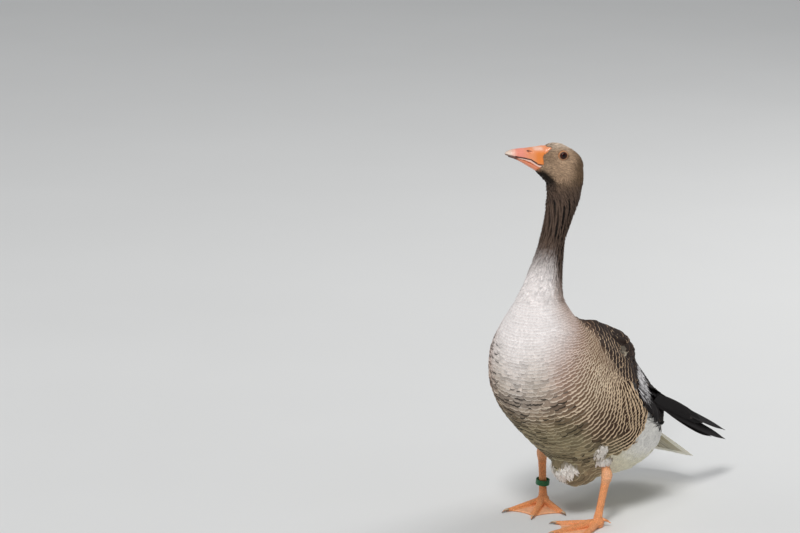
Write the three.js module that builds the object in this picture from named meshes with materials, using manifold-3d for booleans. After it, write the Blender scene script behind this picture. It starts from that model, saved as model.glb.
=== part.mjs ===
// A standing grey goose, life size, as a still model. Millimetres, +Z up.
// The bird faces -Y, its left side is +X, and its soles lie on z = 0.
import * as THREE from 'three';
import { mergeVertices } from 'three/addons/utils/BufferGeometryUtils.js';
import Module from 'manifold-3d';

const wasm = await Module();
wasm.setup();

// ---------- driving dimensions ----------

const GAP = 0.3;                  // clear gap between two sub-parts
const BIG = 1500;                 // side of a cutting box, larger than the bird
const AROUND_BODY = 20;           // sides of a trunk, neck or head ring
const BODY_RINGS = 31;            // rings along trunk and neck

// Side view of trunk and neck from vent to head: each station joins a point of
// the back to a point of the belly, [y, z], and has its half width. "widest" is
// how far down from the back the greatest width lies.
const BODY = [
  { back: [203, 94], belly: [195, 86], half: 12, widest: 0.5 },
  { back: [191, 115], belly: [176, 77], half: 34, widest: 0.5 },
  { back: [172, 147], belly: [142, 63], half: 54, widest: 0.52 },
  { back: [147, 184], belly: [92, 55], half: 72, widest: 0.52 },
  { back: [115, 222], belly: [30, 61], half: 85, widest: 0.51 },
  { back: [80, 255], belly: [-23, 95], half: 91, widest: 0.51 },
  { back: [42, 283], belly: [-73, 136], half: 92, widest: 0.51 },
  { back: [8, 302], belly: [-111, 175], half: 90, widest: 0.52 },
  { back: [-14, 313], belly: [-131, 213], half: 82, widest: 0.53 },
  { back: [-29, 320], belly: [-140, 254], half: 71, widest: 0.52 },
  { back: [-37, 328], belly: [-137, 289], half: 58, widest: 0.5 },
  { back: [-41, 338], belly: [-126, 321], half: 46, widest: 0.5 },
  { back: [-46, 349], belly: [-113, 346], half: 35, widest: 0.5 },
  { back: [-46, 365], belly: [-98, 371], half: 27.5, widest: 0.5 },
  { back: [-42, 386], belly: [-84, 397], half: 22.5, widest: 0.5 },
  { back: [-38, 406], belly: [-72, 420], half: 19, widest: 0.5 },
  { back: [-32, 433], belly: [-64, 447], half: 17.5, widest: 0.5 },
  { back: [-12, 471], belly: [-51, 488], half: 21, widest: 0.5 },
  { back: [-4, 498], belly: [-47, 510], half: 22, widest: 0.5 },
  { back: [-1, 523], belly: [-39, 528], half: 16, widest: 0.5 },
];
const LOBE = { at: [2, 24, 94], reach: [33, 60, 46] };   // fold of belly between the legs
const NECK_DRIFT = 4;             // how far the neck leans to the left at its top
const NECK_DRIFT_FROM = 405;      // height where that lean starts
const NECK_DRIFT_TO = 490;
const BODY_SQUARENESS = 2.15;     // exponent of the ring's superellipse

// Cuts between head, neck and trunk, each through a back and a belly point.
const HEAD_CUT = { back: [5, 494], belly: [-55, 514] };
const NECK_CUT = { back: [-30, 416], belly: [-70, 432] };
const TRUNK_CUT = { back: [-41, 335], belly: [-133, 316] };

// The head turns right of the body; its own frame has its origin level with the
// eyes, in the middle of the head. "along" runs forward towards the bill.
const HEAD_TURN = THREE.MathUtils.degToRad(38);
const HEAD_AT = new THREE.Vector3(-2, -31, 549.6);
const HEAD = [
  { along: -33.5, top: -24, bottom: -40, half: 6 },
  { along: -31.5, top: -13, bottom: -50, half: 12.5 },
  { along: -26.5, top: -4.5, bottom: -56, half: 17 },
  { along: -18, top: 3, bottom: -57, half: 20 },
  { along: -8, top: 9.3, bottom: -55, half: 21 },
  { along: 2, top: 14, bottom: -50, half: 20 },
  { along: 10, top: 15.8, bottom: -44, half: 17.8 },
  { along: 17, top: 15, bottom: -38, half: 15.2 },
  { along: 25, top: 11.5, bottom: -32, half: 13.2 },
  { along: 34, top: 6, bottom: -27, half: 11 },
];
const HEAD_RINGS = 14;
const HEAD_SQUARENESS = 2.2;
const BILL_ROOT = { along: 21.6, up: 12.8 };    // top of the feather edge
const BILL_CORNER = { along: 32.5, up: -25 };   // bottom of the feather edge

const BILL_UPPER = [
  { along: 17, top: 13.6, bottom: -17, half: 13.2 },
  { along: 26, top: 11.8, bottom: -17, half: 13 },
  { along: 34, top: 10.6, bottom: -16, half: 12.6 },
  { along: 42, top: 9.5, bottom: -10.6, half: 12 },
  { along: 50, top: 8.8, bottom: -5.9, half: 11.2 },
  { along: 58, top: 9, bottom: -3, half: 10.6 },
  { along: 66, top: 9.3, bottom: -1.4, half: 9.8 },
  { along: 72.5, top: 8.6, bottom: 0.6, half: 8.2 },
  { along: 77.5, top: 7.2, bottom: 1.8, half: 5.6 },
  { along: 80.5, top: 5, bottom: 2.8, half: 2 },
];
const BILL_LOWER = [
  { along: 24, top: -18, bottom: -27.5, half: 11 },
  { along: 32, top: -18, bottom: -25.4, half: 11 },
  { along: 40, top: -14, bottom: -20.4, half: 10.4 },
  { along: 48, top: -9.2, bottom: -15.4, half: 9.6 },
  { along: 56, top: -5.6, bottom: -10.2, half: 8.9 },
  { along: 64, top: -3, bottom: -5.6, half: 8 },
  { along: 71, top: -1.2, bottom: -2.4, half: 6.4 },
  { along: 76, top: -0.1, bottom: -0.7, half: 3.5 },
];
const BILL_RINGS = 11;
const AROUND_BILL = 14;
const BILL_SQUARENESS = 2.3;
const BILL_FLAT = 0.06;           // bulge of its flat side, as a share of its height
const NAIL_FROM = 68;             // the nail is the tip of the upper bill
const NOSTRIL = { along: 46, up: 4.2, out: 9.4, long: 4.6, high: 1.3, deep: 3 };

const EYE_RADIUS = 6.4;
const EYE_OUT = 13.6;             // from the head's middle to the eye's centre

// Folded left wing: each station joins a point near the spine to a point low on
// the flank, with half the wing's thickness there. The right wing mirrors it.
const WING = [
  { upper: [50, -46, 297], lower: [84, -58, 247], thick: 5 },
  { upper: [32, -16, 310], lower: [95, -38, 217], thick: 12 },
  { upper: [24, 26, 299], lower: [101, 2, 185], thick: 15 },
  { upper: [24, 72, 269], lower: [102, 42, 161], thick: 16 },
  { upper: [26, 110, 231], lower: [97, 74, 143], thick: 13 },
  { upper: [32, 143, 192], lower: [90, 100, 133], thick: 8 },
  { upper: [42, 170, 160], lower: [79, 128, 127], thick: 3 },
];
const WING_SQUARENESS = 2.5;
const WING_RINGS = 14;
const WING_STEP = 0.02;           // share of its length over which its way ahead is read
const AROUND_WING = 12;

// Primaries of the left wing: straight blades from a root under the coverts.
const PRIMARIES = [
  { root: [88, 80, 189], tip: [63, 310, 75], width: 21 },
  { root: [89, 76, 177], tip: [65, 305, 62], width: 21 },
  { root: [84, 84, 178], tip: [58, 272, 74], width: 21 },
];
const BLADE_TILT = [-0.75, 0.28, 0.6];   // the way each blade's upper edge points
const PRIMARY_THICK = 1.6;
const PRIMARY_STEP = 2.6;         // blades lie over one another this far apart
const PRIMARY_RINGS = 7;
const AROUND_PRIMARY = 6;
const PRIMARY_ROOT_SHARE = 0.72;  // width at the root over the greatest width
const PRIMARY_POINT_POWER = 5;    // how late along its length a blade narrows to its point
const PRIMARY_TIP_SHARE = 0.14;   // width left at the point over the greatest width

const TAIL_ROOT = new THREE.Vector3(0, 136, 130);
const TAIL_LENGTH = 158;
const TAIL_DROOP = THREE.MathUtils.degToRad(36);
const TAIL_HALF = [22, 50];       // half width at root and at trailing edge
const TAIL_THICK = [14, 1.6];
const TAIL_ROUNDING = 16;         // the middle feathers reach this much further
const TAIL_ARCH = 7;              // the edges hang this far below the middle
const TAIL_FEATHERS = 16;
const TAIL_SCALLOP = 2.2;
const TAIL_ROWS = 4;

const LEGS = {
  left: {
    knee: [42, 26, 142], thigh: [46, 16, 116], ankle: [52, 13, 92], hock: [56, 13, 76],
    foot: [51, -2, 0], toeIn: -24,
  },
  right: {
    knee: [-60, 36, 144], thigh: [-69, 36, 118], ankle: [-81, 43, 93], hock: [-87, 52, 76],
    foot: [-79, 44, 0], toeIn: 24,
  },
};
const THIGH_RADII = [40, 27, 12.5];   // at the knee, half way and at the ankle
const THIGH_FLATNESS = 0.8;       // its width across over its depth from front to back
const THIGH_RINGS = 7;
const AROUND_THIGH = 14;

// Below the thigh the leg is bare: stations from the ankle to the hock, then from
// the hock to the foot, each with half widths [across, from front to back].
const TIBIA = [
  { share: -0.5, radii: [6.4, 6.4] },
  { share: 0.45, radii: [6.4, 6.4] },
  { share: 1, radii: [8.2, 8.8] },
];
const TARSUS = [
  { share: 0.2, radii: [5.8, 6.9] },
  { share: 0.55, radii: [5.2, 6.2] },
  { share: 0.85, radii: [5.6, 6] },
  { share: 1, radii: [6.6, 6.6] },
];
const LEG_RINGS = 13;
const AROUND_LEG = 10;
const FOOT_JOINT_HEIGHT = 13;
const FOOT_PAD = { reach: [9, 10.5, 9.5], up: 6 };   // ball under the joint, pressed flat

// Toes fan from the joint; angles are from the middle toe, outwards positive.
const TOES = [
  { angle: -40, length: 62, root: 5.4, tip: 3.4 },
  { angle: 0, length: 76, root: 5.8, tip: 3.6 },
  { angle: 38, length: 70, root: 5.2, tip: 3.2 },
];
// A toe's stations: share of its length, then its half width and half height as
// shares of its thickness there.
const TOE = [
  { share: 0, thick: 'root', across: 1, high: 1, lift: 3 },
  { share: 0.22, thick: 'root', across: 1, high: 1, lift: 0 },
  { share: 0.5, thick: 'root', across: 0.86, high: 0.86, lift: -0.9 },
  { share: 0.8, thick: 'tip', across: 1.1, high: 1, lift: 0 },
  { share: 1, thick: 'tip', across: 0.7, high: 0.7, lift: 0 },
];
const TOE_RINGS = 6;
const AROUND_TOE = 8;
const CLAW_LENGTH = 9;
const CLAW_RADII = [[2, 2], [1.7, 1.6], [0.5, 0.6]];
const CLAW_TIP_HEIGHT = 1.2;
const CLAW_ARCH = 0.6;            // the claw rises this far above the toe's end
const HIND_TOE = {
  length: 16, behind: 3, splay: 25, heights: [12, 11, 6], radii: [[3.6, 3.6], [2.2, 2.2], [0.8, 0.8]],
};
const SMALL_RINGS = 4;            // rings and sides of a claw and of the hind toe
const AROUND_SMALL = 6;
const WEB_THICK = 2.4;
const WEB_LIFT = 0.2;             // its underside clears the floor
const WEB_REACH = 0.9;            // how far along the toes the web is fastened
const WEB_NOTCH = 0.78;           // its edge curves in to this share between them

const RING_INNER = 8.6;
const RING_OUTER = 10.2;
const RING_HEIGHT = 8.4;
const RING_UP = 33;               // height of its middle above the floor
const AROUND_RING = 22;
const RING_TILT = THREE.MathUtils.degToRad(7);

// ---------- materials ----------

function finish(color, roughness, metalness = 0) {
  return new THREE.MeshStandardMaterial({ color, roughness, metalness });
}

const BREAST_GREY = finish(0xc9bdb4, 0.85);
const NECK_BROWN = finish(0x7d6d64, 0.85);
const BACK_BROWN = finish(0x5a4636, 0.8);
const VENT_WHITE = finish(0xe9e4d8, 0.85);
const QUILL_BLACK = finish(0x1b1716, 0.6);
const BILL_ORANGE = finish(0xe8713a, 0.45);
const NAIL_WHITE = finish(0xeadfca, 0.4);
const LEG_ORANGE = finish(0xd98458, 0.6);
const EYE_BROWN = finish(0x24110a, 0.1);
const RING_GREEN = finish(0x0f6b3a, 0.4);

// ---------- closed meshes from rings ----------

function signedVolume(positions, index) {
  const corner = (i) => new THREE.Vector3().fromArray(positions, 3 * index[i]);
  let total = 0;
  for (let i = 0; i < index.length; i += 3) {
    total += corner(i).dot(corner(i + 1).cross(corner(i + 2)));
  }
  return total / 6;
}

// Joins rings of equal length into one closed body, with a fan over each end.
function closeRings(rings) {
  const around = rings[0].length;
  const points = rings.flat();
  const index = [];
  for (let r = 0; r + 1 < rings.length; r += 1) {
    for (let i = 0; i < around; i += 1) {
      const a = r * around + i;
      const b = r * around + (i + 1) % around;
      index.push(a, b, b + around, a, b + around, a + around);
    }
  }
  const last = (rings.length - 1) * around;
  for (const [ring, start, flip] of [[rings[0], 0, true], [rings.at(-1), last, false]]) {
    const centre = new THREE.Vector3();
    ring.forEach((point) => centre.addScaledVector(point, 1 / around));
    points.push(centre);
    for (let i = 0; i < around; i += 1) {
      const a = start + i;
      const b = start + (i + 1) % around;
      index.push(points.length - 1, flip ? b : a, flip ? a : b);
    }
  }
  const positions = points.flatMap((point) => point.toArray());
  if (signedVolume(positions, index) < 0) {
    index.reverse();
  }
  const geometry = new THREE.BufferGeometry();
  geometry.setAttribute('position', new THREE.Float32BufferAttribute(positions, 3));
  geometry.setIndex(index);
  return geometry;
}

// A smooth reading of a list of stations: the values at a share 0..1 along it.
function stationReader(stations, keys) {
  const curves = keys.map((key) => new THREE.CatmullRomCurve3(
    stations.map((station) => {
      const value = station[key];
      return Array.isArray(value) ? new THREE.Vector3(...value) : new THREE.Vector3(value, 0, 0);
    }),
    false,
    'catmullrom',
    0.5,
  ));
  return (share) => Object.fromEntries(keys.map((key, i) => {
    const point = curves[i].getPoint(share);
    return [key, Array.isArray(stations[0][key]) ? point : point.x];
  }));
}

// One quadrant-wise superellipse: 0 is the top, a quarter turn the widest side.
function superellipse(angle, half, above, below, power) {
  const side = Math.sin(angle);
  const up = Math.cos(angle);
  const bend = 2 / power;
  return {
    side: half * Math.sign(side) * Math.abs(side) ** bend,
    up: (up > 0 ? above : below) * Math.sign(up) * Math.abs(up) ** bend,
  };
}

function angles(count) {
  return Array.from({ length: count }, (_, i) => (2 * Math.PI * i) / count);
}

function shares(count) {
  return Array.from({ length: count }, (_, i) => i / (count - 1));
}

// ---------- solids and cuts ----------

function solid(geometry) {
  const bare = geometry.clone();
  bare.deleteAttribute('normal');
  bare.deleteAttribute('uv');
  const merged = mergeVertices(bare, 1e-4);
  return new wasm.Manifold(new wasm.Mesh({
    numProp: 3,
    vertProperties: new Float32Array(merged.attributes.position.array),
    triVerts: new Uint32Array(merged.index.array),
  }));
}

function geometryOf(body) {
  const mesh = body.getMesh();
  const geometry = new THREE.BufferGeometry();
  geometry.setAttribute('position', new THREE.Float32BufferAttribute(mesh.vertProperties, 3));
  geometry.setIndex(Array.from(mesh.triVerts));
  return geometry;
}

// A box that fills the side of a plane towards which the normal points.
function halfSpace(point, normal) {
  const turn = new THREE.Quaternion().setFromUnitVectors(new THREE.Vector3(0, 0, 1), normal);
  const box = new THREE.BoxGeometry(BIG, BIG, BIG);
  box.translate(0, 0, BIG / 2 + GAP / 2);
  box.applyQuaternion(turn);
  box.translate(point.x, point.y, point.z);
  return solid(box);
}

// Parts a body by a thin cut: first what lies along the normal, then the rest.
function part(body, point, normal) {
  return [
    body.intersect(halfSpace(point, normal)),
    body.intersect(halfSpace(point, normal.clone().negate())),
  ];
}

// Parts the body across its length; what lies towards the head comes first.
function cutAcross(body, cut) {
  const back = new THREE.Vector3(0, ...cut.back);
  const belly = new THREE.Vector3(0, ...cut.belly);
  const along = belly.clone().sub(back);
  const normal = new THREE.Vector3(0, along.z, -along.y).normalize();
  if (normal.z < 0) {
    normal.negate();
  }
  return part(body, back, normal);
}

// ---------- trunk, neck and head ----------

// How far to the left the neck's middle lies at a height.
function neckDrift(height) {
  return NECK_DRIFT * THREE.MathUtils.smoothstep(height, NECK_DRIFT_FROM, NECK_DRIFT_TO);
}

// One ring of trunk or neck, in the slanting plane of its back and belly points.
function bodyRing(station, grow) {
  const back = new THREE.Vector3(0, station.back.x, station.back.y);
  const belly = new THREE.Vector3(0, station.belly.x, station.belly.y);
  const up = back.clone().sub(belly);
  const depth = up.length();
  up.normalize();
  const middle = back.clone().addScaledVector(up, -depth * station.widest);
  return angles(AROUND_BODY).map((angle) => {
    const reach = superellipse(
      angle,
      station.half + grow,
      depth * station.widest + grow,
      depth * (1 - station.widest) + grow,
      BODY_SQUARENESS,
    );
    const point = middle.clone().addScaledVector(up, reach.up);
    point.x = reach.side + neckDrift(point.z);
    return point;
  });
}

function bodyLoft(grow = 0) {
  const read = stationReader(
    BODY.map((s) => ({ ...s, back: [...s.back, 0], belly: [...s.belly, 0] })),
    ['back', 'belly', 'half', 'widest'],
  );
  return solid(closeRings(shares(BODY_RINGS).map((share) => bodyRing(read(share), grow))));
}

function lobe(grow = 0) {
  const ball = new THREE.SphereGeometry(1, 14, 8);
  ball.scale(...LOBE.reach.map((reach) => reach + grow));
  ball.translate(...LOBE.at);
  return solid(ball);
}

const headPlace = new THREE.Matrix4()
  .makeTranslation(HEAD_AT)
  .multiply(new THREE.Matrix4().makeRotationZ(-HEAD_TURN));

// Skull and cheeks, in the head's own frame.
function headLoft() {
  const read = stationReader(HEAD, ['along', 'top', 'bottom', 'half']);
  const rings = shares(HEAD_RINGS).map((share) => {
    const s = read(share);
    const middle = (s.top + s.bottom) / 2;
    const reach = (s.top - s.bottom) / 2;
    return angles(AROUND_BODY).map((angle) => {
      const point = superellipse(angle, s.half, reach, reach, HEAD_SQUARENESS);
      return new THREE.Vector3(point.side, -s.along, middle + point.up);
    });
  });
  return closeRings(rings);
}

// Bill half: domed on one side of its biting edge and nearly flat on the other.
function billLoft(stations, domeUp, grow = 0) {
  const read = stationReader(stations, ['along', 'top', 'bottom', 'half']);
  const rings = shares(BILL_RINGS).map((share) => {
    const s = read(share);
    const edge = domeUp ? s.bottom : s.top;
    const height = s.top - s.bottom;
    const flat = BILL_FLAT * height;
    return angles(AROUND_BILL).map((angle) => {
      const point = superellipse(
        angle,
        s.half + grow,
        height + grow,
        flat + grow,
        BILL_SQUARENESS,
      );
      return new THREE.Vector3(point.side, -s.along, edge + (domeUp ? point.up : -point.up));
    });
  });
  return closeRings(rings);
}

// A point of the head's side view.
function headSide(point) {
  return new THREE.Vector3(0, -point.along, point.up);
}

function eyeGeometry(side, grow = 0) {
  const ball = new THREE.SphereGeometry(EYE_RADIUS + grow, 12, 8);
  ball.translate(side * EYE_OUT, 0, 0);
  return ball;
}

function nostrilGeometry(side) {
  const slit = new THREE.SphereGeometry(1, 10, 6);
  slit.scale(NOSTRIL.deep, NOSTRIL.long, NOSTRIL.high);
  slit.translate(side * NOSTRIL.out, -NOSTRIL.along, NOSTRIL.up);
  return slit;
}

// ---------- wings ----------

// One ring of the wing: thin from inside to outside, long from upper to lower edge.
function wingRing(station, ahead, grow) {
  const centre = station.upper.clone().add(station.lower).multiplyScalar(0.5);
  const chord = station.upper.clone().sub(station.lower);
  const halfChord = chord.length() / 2;
  chord.normalize();
  const outward = new THREE.Vector3().crossVectors(ahead, chord).normalize();
  return angles(AROUND_WING).map((angle) => {
    const reach = superellipse(
      angle,
      station.thick + grow,
      halfChord + grow,
      halfChord + grow,
      WING_SQUARENESS,
    );
    return centre.clone().addScaledVector(chord, reach.up).addScaledVector(outward, reach.side);
  });
}

function wingLoft(grow = 0) {
  const read = stationReader(WING, ['upper', 'lower', 'thick']);
  const centreAt = (share) => {
    const s = read(THREE.MathUtils.clamp(share, 0, 1));
    return s.upper.clone().add(s.lower).multiplyScalar(0.5);
  };
  const rings = shares(WING_RINGS).map((share) => {
    const ahead = centreAt(share + WING_STEP).sub(centreAt(share - WING_STEP)).normalize();
    return wingRing(read(share), ahead, grow);
  });
  return closeRings(rings);
}

// The same body on the bird's other side.
function mirrored(geometry) {
  const copy = geometry.clone();
  copy.scale(-1, 1, 1);
  copy.setIndex(Array.from(copy.index.array).reverse());
  return copy;
}

// A flight feather: flat, widest past its middle, with a blunt pointed end.
function primaryBlade(blade, order, grow = 0) {
  const root = new THREE.Vector3(...blade.root);
  const along = new THREE.Vector3(...blade.tip).sub(root);
  const across = new THREE.Vector3(...BLADE_TILT);
  across.addScaledVector(along, -across.dot(along) / along.lengthSq()).normalize();
  const outward = new THREE.Vector3().crossVectors(across, along).normalize();
  const rings = shares(PRIMARY_RINGS).map((share) => {
    const point = Math.sqrt(Math.max(1 - share ** PRIMARY_POINT_POWER, PRIMARY_TIP_SHARE ** 2));
    const swell = THREE.MathUtils.lerp(PRIMARY_ROOT_SHARE, 1, Math.sin(Math.PI * share));
    const half = (blade.width / 2) * point * swell;
    const centre = root.clone()
      .addScaledVector(along, share)
      .addScaledVector(outward, -order * PRIMARY_STEP);
    return angles(AROUND_PRIMARY).map((angle) => {
      const reach = superellipse(angle, PRIMARY_THICK / 2 + grow, half + grow, half + grow, 2);
      return centre.clone().addScaledVector(across, reach.up).addScaledVector(outward, reach.side);
    });
  });
  return closeRings(rings);
}

// The blades lie on one another: each one gives way to those above it.
function primaries(covered) {
  let above = covered;
  return PRIMARIES.map((blade, order) => {
    const shown = solid(primaryBlade(blade, order)).subtract(above);
    above = above.add(solid(primaryBlade(blade, order, GAP)));
    return geometryOf(shown);
  });
}

// ---------- tail ----------

// The fan of tail feathers, as rings from its left edge to its right edge: each
// runs out along the top to the trailing edge and back underneath.
function tailLoft() {
  const rings = shares(TAIL_FEATHERS + 1).map((across, i) => {
    const off = 2 * across - 1;
    const scallop = i % 2 === 0 ? -TAIL_SCALLOP : TAIL_SCALLOP;
    const length = TAIL_LENGTH - TAIL_ROUNDING * off * off + scallop;
    const row = (side) => shares(TAIL_ROWS).map((share) => new THREE.Vector3(
      off * THREE.MathUtils.lerp(...TAIL_HALF, share),
      share * length,
      (side * THREE.MathUtils.lerp(...TAIL_THICK, share)) / 2 - TAIL_ARCH * off * off,
    ));
    return [...row(1), ...row(-1).reverse()];
  });
  const fan = closeRings(rings);
  fan.rotateX(-TAIL_DROOP);
  fan.translate(TAIL_ROOT.x, TAIL_ROOT.y, TAIL_ROOT.z);
  return solid(fan);
}

// ---------- legs and feet ----------

// A limb through given centres, with half widths [across, from front to back].
function limb(centres, radii, rings, around, grow = 0) {
  const path = new THREE.CatmullRomCurve3(centres, false, 'centripetal');
  const size = new THREE.CatmullRomCurve3(
    radii.map((r) => new THREE.Vector3(r[0], r[1], 0)),
    false,
    'catmullrom',
    0.5,
  );
  const steps = shares(rings).map((share) => {
    const centre = path.getPoint(share);
    const along = path.getTangent(share);
    const across = new THREE.Vector3(1, 0, 0);
    across.addScaledVector(along, -across.dot(along)).normalize();
    const front = new THREE.Vector3().crossVectors(along, across).normalize();
    const reach = size.getPoint(share);
    return angles(around).map((angle) => centre.clone()
      .addScaledVector(across, (reach.x + grow) * Math.cos(angle))
      .addScaledVector(front, (reach.y + grow) * Math.sin(angle)));
  });
  return closeRings(steps);
}

function point(values) {
  return new THREE.Vector3(...values);
}

function thighLoft(leg, grow = 0) {
  const centres = [point(leg.knee), point(leg.thigh), point(leg.ankle)];
  const radii = THIGH_RADII.map((radius) => [radius * THIGH_FLATNESS, radius]);
  return solid(limb(centres, radii, THIGH_RINGS, AROUND_THIGH, grow));
}

function legLoft(leg, grow = 0) {
  const ankle = point(leg.ankle);
  const hock = point(leg.hock);
  const joint = point(leg.foot).setZ(FOOT_JOINT_HEIGHT);
  const centres = [
    ...TIBIA.map((station) => ankle.clone().lerp(hock, station.share)),
    ...TARSUS.map((station) => hock.clone().lerp(joint, station.share)),
  ];
  const radii = [...TIBIA, ...TARSUS].map((station) => station.radii);
  return solid(limb(centres, radii, LEG_RINGS, AROUND_LEG, grow));
}

// Direction on the floor, turned from straight ahead (-Y) towards +X.
function heading(degrees) {
  const turn = THREE.MathUtils.degToRad(degrees);
  return new THREE.Vector3(Math.sin(turn), -Math.cos(turn), 0);
}

function toe(joint, shape) {
  const at = (share, height) => joint.clone()
    .addScaledVector(shape.direction, shape.length * share)
    .setZ(height);
  const flesh = limb(
    TOE.map((station) => at(station.share, shape[station.thick] + station.lift)),
    TOE.map((station) => [
      shape[station.thick] * station.across,
      shape[station.thick] * station.high,
    ]),
    TOE_RINGS,
    AROUND_TOE,
  );
  const clawEnd = 1 + CLAW_LENGTH / shape.length;
  const claw = limb(
    [at(0.95, shape.tip), at(1.04, shape.tip + CLAW_ARCH), at(clawEnd, CLAW_TIP_HEIGHT)],
    CLAW_RADII,
    SMALL_RINGS,
    AROUND_SMALL,
  );
  return solid(flesh).add(solid(claw));
}

// A web between two toes, its free edge curved in; the outline is a flat shape.
function web(joint, first, second) {
  const from = joint.clone().setZ(0);
  const tipOf = (t) => from.clone().addScaledVector(t.direction, t.length * WEB_REACH);
  const a = tipOf(first);
  const b = tipOf(second);
  const middle = first.direction.clone().add(second.direction).normalize();
  const notch = from.clone()
    .addScaledVector(middle, ((first.length + second.length) / 2) * WEB_REACH * WEB_NOTCH);
  const outline = new THREE.Shape();
  outline.moveTo(from.x, from.y);
  outline.lineTo(a.x, a.y);
  outline.quadraticCurveTo(notch.x, notch.y, b.x, b.y);
  outline.closePath();
  const sheet = new THREE.ExtrudeGeometry(outline, {
    depth: WEB_THICK, bevelEnabled: false, curveSegments: 5,
  });
  sheet.translate(0, 0, WEB_LIFT);
  return solid(sheet);
}

function footSolid(leg) {
  const side = Math.sign(leg.foot[0]);
  const joint = point(leg.foot);
  const toes = TOES.map((t) => ({ ...t, direction: heading(leg.toeIn + side * t.angle) }));
  const toeSolids = toes.map((t) => toe(joint, t));
  const webs = [web(joint, toes[0], toes[1]), web(joint, toes[1], toes[2])];
  const pad = new THREE.SphereGeometry(1, 10, 6);
  pad.scale(...FOOT_PAD.reach);
  pad.translate(joint.x, joint.y, FOOT_PAD.up);
  const hindWay = heading(leg.toeIn + 180 - side * HIND_TOE.splay);
  const hindToe = limb(
    HIND_TOE.heights.map((height, i) => joint.clone()
      .addScaledVector(hindWay, HIND_TOE.behind + (HIND_TOE.length * i) / 2)
      .setZ(height)),
    HIND_TOE.radii,
    SMALL_RINGS,
    AROUND_SMALL,
  );
  const foot = [...toeSolids, ...webs, solid(pad), solid(hindToe)]
    .reduce((all, next) => all.add(next));
  const floor = new THREE.BoxGeometry(BIG, BIG, BIG);
  floor.translate(0, 0, BIG / 2);
  return foot.intersect(solid(floor)).subtract(legLoft(leg, GAP));
}

// The ring on the right shank: a plain open band, looser than the shank.
function legRingGeometry() {
  const profile = [
    [RING_INNER, -RING_HEIGHT / 2], [RING_OUTER, -RING_HEIGHT / 2],
    [RING_OUTER, RING_HEIGHT / 2], [RING_INNER, RING_HEIGHT / 2],
    [RING_INNER, -RING_HEIGHT / 2],
  ].map(([radius, height]) => new THREE.Vector2(radius, height));
  const band = new THREE.LatheGeometry(profile, AROUND_RING);
  band.deleteAttribute('normal');
  band.deleteAttribute('uv');
  const closed = mergeVertices(band, 1e-3);
  closed.rotateX(Math.PI / 2);
  return closed;
}

// ---------- the bird ----------

const goose = new THREE.Group();

function add(parent, name, geometry, material) {
  const mesh = new THREE.Mesh(geometry, material);
  mesh.name = name;
  parent.add(mesh);
  return mesh;
}

const wingLeft = solid(wingLoft());
const wingRight = solid(mirrored(wingLoft()));
const wingsGrown = solid(wingLoft(GAP)).add(solid(mirrored(wingLoft(GAP))));
const bodyGrown = bodyLoft(GAP).add(lobe(GAP));
const headBlock = headLoft();
headBlock.applyMatrix4(headPlace);

// Body and head are one solid that thin cuts part into head, neck and trunk.
const bare = bodyLoft().add(lobe()).add(solid(headBlock));
const [headPart, belowHead] = cutAcross(bare, HEAD_CUT);
const [neckUpper, belowNeck] = cutAcross(belowHead, NECK_CUT);
const [neckLower, trunkPart] = cutAcross(belowNeck, TRUNK_CUT);

// In the head's own frame a slanting plane parts the feathers from the bill.
const billPlane = headSide(BILL_ROOT);
const billSlope = headSide(BILL_CORNER).sub(billPlane);
const billNormal = new THREE.Vector3(0, billSlope.z, -billSlope.y).normalize();

const head = new THREE.Group();
head.position.copy(HEAD_AT);
head.rotation.z = -HEAD_TURN;
goose.add(head);

const headLocal = geometryOf(headPart);
headLocal.applyMatrix4(headPlace.clone().invert());
const eyes = solid(eyeGeometry(1, GAP)).add(solid(eyeGeometry(-1, GAP)));
const headFlesh = part(solid(headLocal), billPlane, billNormal)[1].subtract(eyes);
const upperBill = part(solid(billLoft(BILL_UPPER, true)), billPlane, billNormal)[0]
  .subtract(solid(nostrilGeometry(1)))
  .subtract(solid(nostrilGeometry(-1)));
const lowerBill = part(solid(billLoft(BILL_LOWER, false)), billPlane, billNormal)[0]
  .subtract(solid(billLoft(BILL_UPPER, true, GAP)));
const [nail, upperBillRest] = part(
  upperBill,
  new THREE.Vector3(0, -NAIL_FROM, 0),
  new THREE.Vector3(0, -1, 0),
);

add(head, 'head', geometryOf(headFlesh), NECK_BROWN);
add(head, 'bill_upper', geometryOf(upperBillRest), BILL_ORANGE);
add(head, 'bill_nail', geometryOf(nail), NAIL_WHITE);
add(head, 'bill_lower', geometryOf(lowerBill), BILL_ORANGE);
add(head, 'eye_left', geometryOf(solid(eyeGeometry(1))), EYE_BROWN);
add(head, 'eye_right', geometryOf(solid(eyeGeometry(-1))), EYE_BROWN);

const tail = tailLoft();
const thighsGrown = thighLoft(LEGS.left, GAP).add(thighLoft(LEGS.right, GAP));
add(goose, 'neck_upper', geometryOf(neckUpper), NECK_BROWN);
add(goose, 'neck_lower', geometryOf(neckLower), BREAST_GREY);
add(goose, 'trunk', geometryOf(trunkPart.subtract(wingsGrown)), BREAST_GREY);
add(goose, 'wing_left', geometryOf(wingLeft), BACK_BROWN);
add(goose, 'wing_right', geometryOf(wingRight), BACK_BROWN);
primaries(wingsGrown.add(bodyGrown)).forEach((blade, order) => {
  add(goose, `primary_left_${order + 1}`, blade, QUILL_BLACK);
  add(goose, `primary_right_${order + 1}`, mirrored(blade), QUILL_BLACK);
});
add(goose, 'tail', geometryOf(tail.subtract(bodyGrown)), VENT_WHITE);

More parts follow.
